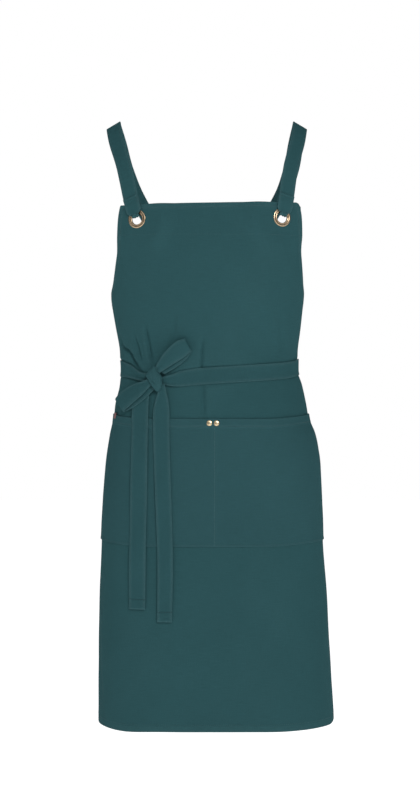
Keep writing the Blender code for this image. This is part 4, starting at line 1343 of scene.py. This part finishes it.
def make_knot(look):
    """The wrap of tape round the bow, domed, with its long folds."""
    outline = spline(KNOT_OUTLINE, 7, closed=True)
    rings = spline(KNOT_RINGS, 4)
    mesh = bpy.data.meshes.new("bow_knot_wrap")
    body = bmesh.new()
    places = body.loops.layers.uv.new("weave")
    share = body.verts.layers.float.new("wear")
    map_of = {}
    made_rings = []
    for scale, lift in rings:
        if scale < 0.02:
            continue
        across, up = outline[:, 0] * scale, outline[:, 1] * scale
        aside = across * math.cos(KNOT_LEAN) + up * math.sin(KNOT_LEAN)
        ends = np.clip(1.0 - (up / 0.5) ** 2, 0.0, 1.0)
        folds = 0.0005 * np.cos(aside * 2.0 * math.pi / 0.155 + 0.5) * (0.35 + 0.65 * ends)
        off = (up - 0.089) * 0.664 + (across + 0.067) * 1.0
        crease = -0.0016 * np.exp(-(off / 0.035) ** 2) * np.exp(-((up + 0.06) / 0.20) ** 2)
        height = lift + (folds + crease) * smooth_step((lift - 0.010) / 0.004)
        points = hung(KNOT_ACROSS + across * KNOT_HEIGHT, -KNOT_DROP + up * KNOT_HEIGHT, height)
        ring = []
        for point, a, b in zip(points, across, up):
            vert = body.verts.new(point)
            vert[share] = 0.25
            map_of[vert] = (a * KNOT_HEIGHT, b * KNOT_HEIGHT + lift)
            ring.append(vert)
        made_rings.append(ring)
    count = len(outline)
    for low, high in zip(made_rings, made_rings[1:]):
        for index in range(count):
            after = (index + 1) % count
            body.faces.new((low[index], low[after], high[after], high[index]))
    for ring, lift in ((made_rings[0], rings[0][1]), (made_rings[-1], rings[-1][1])):
        centre = body.verts.new(hung(np.array(KNOT_ACROSS), np.array(-KNOT_DROP), np.array(lift)))
        map_of[centre] = (0.0, lift)
        for index in range(count):
            body.faces.new((ring[index], ring[(index + 1) % count], centre))
    bmesh.ops.recalc_face_normals(body, faces=body.faces[:])
    for face in body.faces:
        for loop in face.loops:
            loop[places].uv = map_of[loop.vert]
    body.to_mesh(mesh)
    body.free()
    return finished("bow_knot_wrap", mesh, look)


def strap_stations(side):
    """Middle, face and width along a shoulder strap, from its front end round
    through the eyelet, over the shoulder and down to the far waist corner."""
    centre, normal = EYELETS[side]
    across = unit(np.cross((0.0, 0.0, 1.0), normal))
    across = across * np.sign(across[0]) * side
    up = unit(np.cross(normal, across))
    up = up * np.sign(up[2])
    lean = STRAP_LEAN[side]
    rise = unit(up * math.cos(lean) + across * math.sin(lean))
    front_lift = CLOTH / 2 + GAP + EYELET_FRONT + GAP + STRAP_THICK / 2
    back_lift = CLOTH / 2 + GAP + EYELET_BACK + GAP + STRAP_THICK / 2
    bend = (front_lift + back_lift) / 2
    bend_lift = (front_lift - back_lift) / 2
    bend_height = bend + STRAP_BEND * EYELET_HOLE
    through = STRAP_THROUGH * EYELET_HOLE
    over_top = (EYELET_DROP[side] - BIB_TOP + bib_rise(side * EYELET_ACROSS[side])) / math.cos(lean)
    tail_end = over_top + 0.5 * STRAP_WIDTH
    together = STRAP_THICK + GAP

    def beside_bib(lift):
        """Height, lift and width from above the bib's edge down to the eyelet, on one face."""
        return (
            (tail_end, 0.5 * together, STRAP_WIDTH),
            (over_top + 0.22 * STRAP_WIDTH, 0.5 * together + 0.6 * GAP, STRAP_WIDTH),
            (over_top, 1.4 * together, STRAP_WIDTH),
            (EYELET_RIM, lift, STRAP_WIDTH),
            (0.72 * EYELET_RIM, lift, 0.84 * STRAP_WIDTH),
            (0.50 * EYELET_RIM, lift, 0.5 * (through + 0.7 * STRAP_WIDTH)),
        )

    rows = []
    for height, lift, width in beside_bib(front_lift):
        rows.append((*(centre + rise * height + normal * lift), *normal, width))
    for angle in np.linspace(0.0, math.pi, 9):
        middle = centre + rise * (bend_height - bend * math.sin(angle))
        middle = middle + normal * (bend_lift + bend * math.cos(angle))
        face = normal * math.cos(angle) - rise * math.sin(angle)
        rows.append((*middle, *face, through))
    for height, lift, width in reversed(beside_bib(back_lift)):
        rows.append((*(centre + rise * height - normal * lift), *(-normal), width))
    slope = np.array((side * math.sin(SHOULDER_SLOPE), 0.0, math.cos(SHOULDER_SLOPE)))
    key = [(*rows[-1][:3], *normal, STRAP_WIDTH)]
    for out_plus, out_minus, back, drop, face in STRAP_ARCH:
        out = side * SHOULDER[side] * (out_plus if side > 0 else out_minus)
        middle = (out, back * FORM_DEPTH, STRAP_THICK / 2 - drop * BIB_TOP)
        if face < 1.0:
            turned_to = normal + (slope - normal) * smooth_step(face)
        else:
            turned_to = slope + (np.array((0.0, 1.0, 0.1)) - slope) * smooth_step(face - 1.0)
        key.append((*middle, *unit(turned_to), STRAP_WIDTH))
    lifted = STRAP_THICK + 2.0 * GAP if side < 0 else 0.0
    for beyond, drop, lift in STRAP_BACK:
        z = -drop * DROP
        minus, plus, _, _ = half_rounds(z)
        spare = minus + plus - 2.0 * PANEL_HALF if beyond > 0.0 else 2.0 * PANEL_HALF
        u = -side * (PANEL_HALF + beyond * spare)
        height = (CLOTH / 2 + GAP + STRAP_THICK / 2) * lift
        height += lifted * smooth_step((0.35 - abs(beyond - 0.45)) / 0.2)
        key.append((*laid(u, z, height), *normal_of(worn, np.array(u), np.array(z)), STRAP_WIDTH))
    key = spline(key, 16)[1:]
    key[:, 3:6] *= -1.0
    return np.concatenate((spline(rows, 3), key))


def strap_grid(side, shares):
    rows = strap_stations(side)
    middle, face, width = rows[:, :3], unit(rows[:, 3:6]), rows[:, 6:]
    run = unit(np.gradient(middle, axis=0))
    across = unit(np.cross(run, face))
    out = unit(np.cross(across, run))
    shares = np.asarray(shares)
    place = middle[:, None] + across[:, None] * (shares[None, :] * width / 2)[..., None]
    gather = 1.5 * pleats(width / STRAP_WIDTH, shares[None, :] * 1.25, 2.0)
    return place + out[:, None] * gather[..., None], width[:, 0]


def make_strap(name, look):
    middle, width = strap_grid(STRAPS[name], BAND_SHARES)
    uv = band_uv(middle, STRAP_WIDTH, 0.2)
    return band_body(name + "_tape", middle, STRAP_THICK, uv, width, look)


def make_eyelet(name, side, look):
    centre, axis = EYELETS[side]
    clamp = CLOTH / 2 + GAP
    hole, rim = EYELET_HOLE, EYELET_RIM
    barrel = hole + EYELET_WALL
    top, low = clamp + EYELET_FRONT, clamp + EYELET_BACK
    profile = [(hole, -0.6 * low, 0.3), (hole, 0.2 * top, 0.35)]
    profile += [(hole + out * (rim - hole), clamp + up * (top - clamp), wear)
                for out, up, wear in EYELET_FACE]
    profile += [(rim, clamp, 0.1), (barrel, clamp, 0.0), (barrel, -clamp, 0.0)]
    profile += [(rim - EYELET_WALL, -clamp, 0.1), (rim - EYELET_WALL, -0.8 * low, 0.4)]
    profile += [(0.6 * rim + 0.4 * hole, -low, 0.6), (0.25 * rim + 0.75 * hole, -low, 0.5)]
    return turned(name, profile, centre, axis, 72, look)


def rivet_place(offset):
    across = RIVET_MIDDLE + offset * RIVET_PITCH
    axis = normal_of(worn, np.array(across), np.array(-RIVET_DROP))
    return canvas(np.array(across), np.array(-RIVET_DROP)), axis


def make_rivet(name, offset, look):
    centre, axis = rivet_place(offset)
    front = 1.5 * CLOTH + 2.0 * GAP
    back = -CLOTH / 2 - GAP
    burr = 0.8 * RIVET_HEAD
    profile = [
        (0.0, back - CLOTH, 0.4), (0.35 * burr, back - CLOTH, 0.4),
        (0.75 * burr, back - 0.9 * CLOTH, 0.4), (burr, back - 0.45 * CLOTH, 0.3),
        (burr, back, 0.0), (RIVET_SHANK, back, 0.0), (RIVET_SHANK, front, 0.0),
    ]
    profile += [(out * RIVET_HEAD, front + up * RIVET_DOME, wear) for out, up, wear in RIVET_FACE]
    return turned(name, profile, centre, axis, 48, look)


def make_tab(look):
    """Small woven loop caught in the pocket's top edge, left bare."""
    near = 1.5 * CLOTH + 2.0 * GAP + 0.0005
    thick = 0.6 * CLOTH
    top = cloth_level(TAB_ACROSS / PANEL_HALF, np.array(POCKET_TOP)) + TAB_STANDS
    across = np.linspace(-0.5, 0.5, 15) * TAB_WIDTH + TAB_ACROSS
    down = np.linspace(0.0, 1.0, 19)
    u, t = np.meshgrid(across, down)
    z = top - t * TAB_HEIGHT
    off = near + thick / 2 + 0.0007 * t ** 2 + 0.0002 * np.sin(u * 900.0)
    middle = canvas(u, z) + normal_of(worn, u, z) * off[..., None]
    side = np.minimum(u - across[0], across[-1] - u)
    near_edge = np.minimum(side, np.minimum(t, 1.0 - t) * TAB_HEIGHT)
    left = edge_round(near_edge, thick)
    wear = np.exp(-near_edge / 0.0008)
    half = thick / 2 * left
    uv = np.stack((u, z), axis=-1)
    return cloth_body("side_tab_tape", middle, half, half, uv, wear, look)


# Seam lines and their stitches

def surface_line(place, u, z, lift):
    """Points on one face of a cloth and the way that face looks."""
    normal = normal_of(place, u, z, 0.0015)
    return place(u, z) + normal * lift, normal * np.sign(lift)


def panel_seams():
    lines = []
    drops = np.linspace(BIB_TOP + HEM_SEAM, DROP - BOTTOM_SEAM, 420)
    half = read_table(BIB_EDGE, 1, drops / DROP) * PANEL_HALF
    lean = np.sqrt(1.0 + np.gradient(half, drops) ** 2)
    for lift in (CLOTH / 2, -CLOTH / 2 - HEM_FOLD):
        for side in (-1.0, 1.0):
            u = side * (half - HEM_SEAM * lean)
            lines.append(surface_line(canvas, u, cloth_level(u / PANEL_HALF, drops), lift))
        u = np.linspace(-0.152, 0.152, 120)
        lines.append(surface_line(canvas, u, bib_rise(u) - BIB_TOP - HEM_SEAM, lift))
        u = np.linspace(HEM_SEAM - PANEL_HALF, PANEL_HALF - HEM_SEAM, 240)
        lines.append(surface_line(canvas, u, -DROP + BOTTOM_SEAM - hem_sag(u), lift))
    u = np.linspace(-0.158, 0.158, 160)
    for lift in (CLOTH / 2, -CLOTH / 2 - FACING_FOLD):
        lines.append(surface_line(canvas, u, np.full(u.shape, -BIB_TOP - FACING_DEPTH), lift))
    return lines


def pocket_seams():
    lines = []
    lift = CLOTH / 2 + 0.0003
    reach = POCKET_HALF - POCKET_EDGE_SEAM
    u = np.linspace(-reach, reach, 260)
    for drop in (POCKET_TOP + POCKET_SEAM, POCKET_BOTTOM - POCKET_EDGE_SEAM):
        lines.append(surface_line(pocket_cloth, u, cloth_level(u / PANEL_HALF, drop), lift))
    drops = np.linspace(POCKET_TOP + 0.003, POCKET_BOTTOM - POCKET_EDGE_SEAM, 110)
    for side in (-1.0, 1.0):
        u = np.full(drops.shape, side * reach)
        lines.append(surface_line(pocket_cloth, u, cloth_level(u / PANEL_HALF, drops), lift))
    return lines


def divider_seam():
    drops = np.linspace(POCKET_TOP + POCKET_SEAM - 0.001, POCKET_BOTTOM - POCKET_EDGE_SEAM, 110)
    u = np.full(drops.shape, DIVIDER)
    return [surface_line(pocket_cloth, u, cloth_level(u / PANEL_HALF, drops), CLOTH / 2)]


def band_lines(grid_of, key, thick, width):
    """Seam lines near both edges of a band, on both of its faces."""
    share = 1.0 - 2.0 * BAND_SEAM / width
    middle, _ = grid_of(key, (-1.0, -share, 0.0, share, 1.0))
    normal = grid_normals(middle)
    lines = []
    for face in (1.0, -1.0):
        for column in (1, 3):
            facing_out = normal[:, column] * face
            points = middle[:, column] + facing_out * thick / 2
            lines.append((points[2:-2], facing_out[2:-2]))
    return lines


def band_length(grid_of, key):
    """Length of a band along its middle line."""
    middle, _ = grid_of(key, (0.0, 0.5))
    return float(steps_along(middle[:, 0]).sum())


def cross_line(grid_of, key, from_end, thick):
    """Seam line across a band, some way from one end, on the face that looks forward."""
    middle, _ = grid_of(key, np.linspace(-0.93, 0.93, 12))
    run = run_along(middle[:, 6])
    row = int(np.argmin(np.abs(run - (from_end if from_end > 0.0 else run[-1] + from_end))))
    normal = grid_normals(middle)[row]
    normal = normal * -np.sign(normal[:, 1:2])
    return middle[row] + normal * thick / 2, normal


def sew(name, lines, thread, stretch=1.0):
    """Drawn seam lines become rows of separate stitches."""
    sewing = bpy.context.scene.apron_sewing
    mesh = bpy.data.meshes.new(name + "_lines")
    points, normals, edges = [], [], []
    for line, normal in lines:
        first = len(points)
        points += line.tolist()
        normals += normal.tolist()
        edges += [(first + step, first + step + 1) for step in range(len(line) - 1)]
    mesh.from_pydata(points, edges, [])
    facing_out = mesh.attributes.new("facing", "FLOAT_VECTOR", "POINT")
    facing_out.data.foreach_set("vector", np.array(normals, np.float32).ravel())
    made = add_object(name, mesh)
    rows = made.modifiers.new("stitches", "NODES")
    rows.node_group = bpy.data.node_groups["Stitch Row"]
    values = {"Pitch": stretch * sewing.stitch_pitch, "Length": stretch * sewing.stitch_length,
              "Thickness": stretch * sewing.thread_thickness, "Wander": STITCH_WANDER,
              "Seed": STITCH_SEED, "Thread": looks()[thread]}
    for item in rows.node_group.interface.items_tree:
        if item.in_out == "INPUT" and item.name in values:
            rows[item.identifier] = values[item.name]
    plain_mesh(made)
    if not made.data.polygons:
        raise RuntimeError(f"{name} came out with no stitches")
    return keep(made, None)


# Properties

class ApronCloth(bpy.types.PropertyGroup):
    panel_colour: bpy.props.FloatVectorProperty(
        name="Apron colour", description="Dye of the apron's canvas", subtype="COLOR", size=3,
        min=0.0, max=1.0, default=(0.0230, 0.0718, 0.0797))
    pocket_colour: bpy.props.FloatVectorProperty(
        name="Pocket colour", description="Dye of the pocket's canvas", subtype="COLOR", size=3,
        min=0.0, max=1.0, default=(0.0244, 0.0728, 0.0814))
    # Strap colour: the dye set a little paler than the panel's, a painted light for the light that
    # falls on the straps' upward faces.
    strap_colour: bpy.props.FloatVectorProperty(
        name="Strap colour", description="Dye of the shoulder straps", subtype="COLOR", size=3,
        min=0.0, max=1.0, default=(0.0242, 0.0762, 0.0846))
    tie_colour: bpy.props.FloatVectorProperty(
        name="Tie colour", description="Dye of the waist ties", subtype="COLOR", size=3,
        min=0.0, max=1.0, default=(0.0231, 0.0712, 0.0795))
    tab_colour: bpy.props.FloatVectorProperty(
        name="Tab colour", description="Colour of the bare side tab", subtype="COLOR", size=3,
        min=0.0, max=1.0, default=(0.2100, 0.1150, 0.1150))
    thread_colour: bpy.props.FloatVectorProperty(
        name="Thread colour", description="Colour of the sewing thread", subtype="COLOR", size=3,
        min=0.0, max=1.0, default=(0.0240, 0.0760, 0.0850))
    divider_thread_colour: bpy.props.FloatVectorProperty(
        name="Divider thread", description="Colour of the thread down the pocket's divider",
        subtype="COLOR", size=3, min=0.0, max=1.0, default=(0.0370, 0.1030, 0.1130))
    end_thread_colour: bpy.props.FloatVectorProperty(
        name="End thread", description="Colour of the thread across the ends of the tapes",
        subtype="COLOR", size=3, min=0.0, max=1.0, default=(0.0070, 0.0270, 0.0310))
    threads_per_cm: bpy.props.FloatProperty(
        name="Threads per centimetre", description="How fine the canvas is woven",
        min=5.0, max=40.0, default=12.0)
    fading: bpy.props.FloatProperty(
        name="Fading", description="How pale rubbed edges and seams have gone", subtype="FACTOR",
        min=0.0, max=1.0, default=0.5)


class ApronSewing(bpy.types.PropertyGroup):
    stitch_pitch: bpy.props.FloatProperty(
        name="Stitch pitch", description="From one stitch to the next", subtype="DISTANCE",
        unit="LENGTH", min=0.001, max=0.02, default=0.0036)
    stitch_length: bpy.props.FloatProperty(
        name="Stitch length", description="Length of thread seen in one stitch", subtype="DISTANCE",
        unit="LENGTH", min=0.001, max=0.02, default=0.0029)
    thread_thickness: bpy.props.FloatProperty(
        name="Thread thickness", description="Width of the thread", subtype="DISTANCE",
        unit="LENGTH", min=0.0002, max=0.003, default=0.0007)


class ApronMetal(bpy.types.PropertyGroup):
    eyelet_bright: bpy.props.FloatVectorProperty(
        name="Eyelet, rubbed", description="Brass of the eyelets where it is rubbed",
        subtype="COLOR", size=3, min=0.0, max=1.0, default=(0.62, 0.47, 0.31))
    eyelet_dark: bpy.props.FloatVectorProperty(
        name="Eyelet, dark", description="Brass of the eyelets in the hollows", subtype="COLOR",
        size=3, min=0.0, max=1.0, default=(0.14, 0.09, 0.055))
    rivet_bright: bpy.props.FloatVectorProperty(
        name="Rivet, rubbed", description="Brass of the rivets where it is rubbed", subtype="COLOR",
        size=3, min=0.0, max=1.0, default=(0.70, 0.56, 0.36))
    rivet_dark: bpy.props.FloatVectorProperty(
        name="Rivet, dark", description="Brass of the rivets in the hollows", subtype="COLOR",
        size=3, min=0.0, max=1.0, default=(0.30, 0.21, 0.12))


class ApronStage(bpy.types.PropertyGroup):
    floor_below: bpy.props.FloatProperty(
        name="Floor below hem", description="How far the floor lies below the hem",
        subtype="DISTANCE", unit="LENGTH", min=0.0, max=2.0, default=0.30)
    floor_colour: bpy.props.FloatVectorProperty(
        name="Floor colour", description="Pale floor and surroundings", subtype="COLOR", size=3,
        min=0.0, max=1.0, default=(0.92, 0.92, 0.92))
    floor_glow: bpy.props.FloatProperty(
        name="Floor glow", description="How far the floor is lit up to white",
        min=0.0, max=2.0, default=0.92)
    key_power: bpy.props.FloatProperty(
        name="Key light", description="Power of the large front light", subtype="POWER",
        unit="POWER", min=0.0, max=2000.0, default=51.5)
    surround: bpy.props.FloatProperty(
        name="Surroundings", description="Brightness of the white surroundings", min=0.0, max=4.0,
        default=0.15)


# Operators

class APRON_OT_panel(bpy.types.Operator):
    """Makes the apron's main cloth with its hems and creases"""
    bl_idname = "apron.panel"
    bl_label = "Make Apron Panel"

    def execute(self, context):
        made = make_panel(looks()["indigo canvas"])
        radius = EYELET_HOLE + EYELET_WALL + GAP
        holes = [(*EYELETS[side], radius) for side in (-1, 1)]
        holes += [(*rivet_place(offset), RIVET_SHANK + GAP) for offset in (-0.5, 0.5)]
        keep(cut_holes(made, holes), "apron_panel")
        return {"FINISHED"}


class APRON_OT_pocket(bpy.types.Operator):
    """Makes the divided pocket"""
    bl_idname = "apron.pocket"
    bl_label = "Make Pocket"

    def execute(self, context):
        made = make_pocket(looks()["indigo canvas pocket"])
        holes = [(*rivet_place(offset), RIVET_SHANK + GAP) for offset in (-0.5, 0.5)]
        keep(cut_holes(made, holes), "pocket_panel")
        return {"FINISHED"}


class APRON_OT_straps(bpy.types.Operator):
    """Makes the two crossed shoulder straps"""
    bl_idname = "apron.straps"
    bl_label = "Make Shoulder Straps"

    def execute(self, context):
        for name in STRAPS:
            keep(make_strap(name, looks()["strap tape"]), name)
        return {"FINISHED"}


class APRON_OT_ties(bpy.types.Operator):
    """Makes the two waist ties and their hanging ends"""
    bl_idname = "apron.ties"
    bl_label = "Make Waist Ties"

    def execute(self, context):
        look = looks()["tie tape"]
        for name in TIE_PATHS:
            keep(make_tie(name, look), name)
        for name in TAIL_ENDS:
            keep(make_tail(name, look), name)
        return {"FINISHED"}


class APRON_OT_bow(bpy.types.Operator):
    """Makes the bow: two loops and the knot round them"""
    bl_idname = "apron.bow"
    bl_label = "Make Bow"

    def execute(self, context):
        look = looks()["tie tape"]
        for name in LOOPS:
            keep(make_loop(name, look), name)
        keep(make_knot(look), "bow_knot")
        return {"FINISHED"}


class APRON_OT_fittings(bpy.types.Operator):
    """Makes the eyelets, the pocket's rivets and the bare side tab"""
    bl_idname = "apron.fittings"
    bl_label = "Make Fittings"

    def execute(self, context):
        for label, side in (("left", 1), ("right", -1)):
            ring = make_eyelet("brass_eyelet_" + label, side, looks()["antique brass"])
            keep(ring, "eyelet_" + label)
            rivet = make_rivet("brass_rivet_" + label, 0.5 * side, looks()["pale brass"])
            keep(rivet, "pocket_rivet_" + label)
        keep(make_tab(looks()["russet tab"]), "side_tab")
        return {"FINISHED"}


class APRON_OT_stitching(bpy.types.Operator):
    """Sews every seam with its own stitches"""
    bl_idname = "apron.stitching"
    bl_label = "Sew Seams"

    def execute(self, context):
        sew("panel_stitches", panel_seams(), "canvas thread")
        sew("pocket_stitches", pocket_seams(), "canvas thread")
        sew("divider_stitches", divider_seam(), "pale thread", DIVIDER_STRETCH)
        straps, strap_ends = [], []
        for side in STRAPS.values():
            straps += band_lines(strap_grid, side, STRAP_THICK, STRAP_WIDTH)
            strap_ends.append(cross_line(strap_grid, side, STRAP_END_SEAM, STRAP_THICK))
        sew("strap_stitches", straps, "canvas thread")
        sew("strap_end_stitches", strap_ends, "dark thread")
        ties = []
        for grid_of, names in ((tie_middle, TIE_PATHS), (tail_grid, TAIL_ENDS), (loop_grid, LOOPS)):
            for name in names:
                ties += band_lines(grid_of, name, TIE_THICK, TIE_WIDTH)
        tie_ends = [cross_line(tail_grid, name, -TAIL_HEM, TIE_THICK) for name in TAIL_ENDS]
        sew("tie_stitches", ties, "canvas thread")
        sew("tie_end_stitches", tie_ends, "dark thread")
        return {"FINISHED"}


class APRON_OT_declare(bpy.types.Operator):
    """Works out the bib's half widths and the length of every strap, tie and loop, and keeps none
    of them
    """
    bl_idname = "apron.declare"
    bl_label = "State Cloth Sizes"

    def execute(self, context):
        drops = np.linspace(BIB_TOP, DROP, 400)
        half = read_table(BIB_EDGE, 1, drops / DROP) * PANEL_HALF
        for name, side in STRAPS.items():
            length = band_length(strap_grid, side)
        for name in TIE_PATHS:
            length = band_length(tie_middle, name)
        for name in LOOPS:
            length = band_length(loop_grid, name)
        return {"FINISHED"}


class APRON_OT_stage(bpy.types.Operator):
    """Makes the floor, the lights and the camera"""
    bl_idname = "apron.stage"
    bl_label = "Make Stage"

    def execute(self, context):
        stage = context.scene.apron_stage
        make_floor(stage)
        make_lights(stage)
        make_camera()
        context.scene.view_settings.view_transform = "Standard"
        return {"FINISHED"}


def make_floor(stage):
    look = bpy.data.materials.new("pale floor")
    look.use_nodes = True
    tree = Tree(look.node_tree)
    grain = tree.noise(tree.node("ShaderNodeTexCoord").outputs["Object"], 3.0, 3.0)
    colour = tuple(stage.floor_colour)
    darker = tuple(0.985 * value for value in colour)
    tree.fill(look.node_tree.nodes["Principled BSDF"], {
        "Base Color": tree.blend(grain, (*darker, 1.0), (*colour, 1.0)),
        "Roughness": 0.9, "Specular IOR Level": 0.1,
        "Emission Color": (1.0, 1.0, 1.0, 1.0), "Emission Strength": stage.floor_glow})
    level = -DROP - stage.floor_below
    corners = ((-1.0, -1.0), (1.0, -1.0), (1.0, 1.0), (-1.0, 1.0))
    points = [(x * FLOOR_REACH, y * FLOOR_REACH, level) for x, y in corners]
    mesh = bpy.data.meshes.new("pale_floor")
    mesh.from_pydata(points, [], [(0, 1, 2, 3)])
    finished("pale_floor", mesh, look)


def make_lights(stage):
    world = bpy.data.worlds.new("white surroundings")
    bpy.context.scene.world = world
    world.use_nodes = True
    tree = Tree(world.node_tree)
    seen = tree.node("ShaderNodeLightPath").outputs["Is Camera Ray"]
    tree.fill(world.node_tree.nodes["Background"], {
        "Color": (1.0, 1.0, 1.0, 1.0),
        "Strength": tree.scaled(seen, 1.0 - stage.surround, stage.surround)})
    target = Vector((0.0, 0.0, -AIM_DROP))
    for name, place, size, share in LIGHTS:
        lamp = bpy.data.lights.new(name, "AREA")
        lamp.size = size
        lamp.energy = share * stage.key_power
        made = add_object(name, lamp)
        made.location = place
        made.rotation_mode = "QUATERNION"
        made.rotation_quaternion = (target - Vector(place)).to_track_quat("-Z", "Y")


def make_camera():
    camera = bpy.data.cameras.new("camera")
    camera.sensor_width = SENSOR
    camera.lens = PHOTO_FOCAL * SENSOR / PHOTO_HEIGHT
    camera.clip_end = 60.0
    made = add_object("camera", camera)
    place = Matrix.Translation((0.0, -CAMERA_AWAY, -CAMERA_DROP))
    made.matrix_world = place @ Matrix.Rotation(math.pi / 2, 4, "X")
    bpy.context.scene.camera = made


class APRON_PT_panel(bpy.types.Panel):
    """Sizes, colours and steps of the apron's looks"""
    bl_idname = "APRON_PT_panel"
    bl_label = "Cross Back Apron"
    bl_space_type = "VIEW_3D"
    bl_region_type = "UI"
    bl_category = "Apron"

    def draw(self, context):
        scene = context.scene
        for title, group in (("Cloth", scene.apron_cloth), ("Sewing", scene.apron_sewing),
                             ("Metal", scene.apron_metal), ("Stage", scene.apron_stage)):
            box = self.layout.box()
            box.label(text=title)
            for name in group.__annotations__:
                box.prop(group, name)
        for operator in OPERATORS:
            self.layout.operator(operator.bl_idname)


GROUPS = {
    "apron_cloth": ApronCloth,
    "apron_sewing": ApronSewing,
    "apron_metal": ApronMetal,
    "apron_stage": ApronStage,
}
OPERATORS = (APRON_OT_panel, APRON_OT_pocket, APRON_OT_straps, APRON_OT_ties, APRON_OT_bow,
             APRON_OT_fittings, APRON_OT_stitching, APRON_OT_declare, APRON_OT_stage)


def register():
    for name, group in GROUPS.items():
        bpy.utils.register_class(group)
        setattr(bpy.types.Scene, name, bpy.props.PointerProperty(type=group))
    for operator in OPERATORS:
        bpy.utils.register_class(operator)
    bpy.utils.register_class(APRON_PT_panel)


def unregister():
    bpy.utils.unregister_class(APRON_PT_panel)
    for operator in reversed(OPERATORS):
        bpy.utils.unregister_class(operator)
    for name, group in GROUPS.items():
        delattr(bpy.types.Scene, name)
        bpy.utils.unregister_class(group)


def main():
    register()
    bpy.ops.apron.panel()
    bpy.ops.apron.pocket()
    bpy.ops.apron.straps()
    bpy.ops.apron.ties()
    bpy.ops.apron.bow()
    bpy.ops.apron.fittings()
    bpy.ops.apron.stitching()
    bpy.ops.apron.declare()
    bpy.ops.apron.stage()


if __name__ == "__main__":
    main()
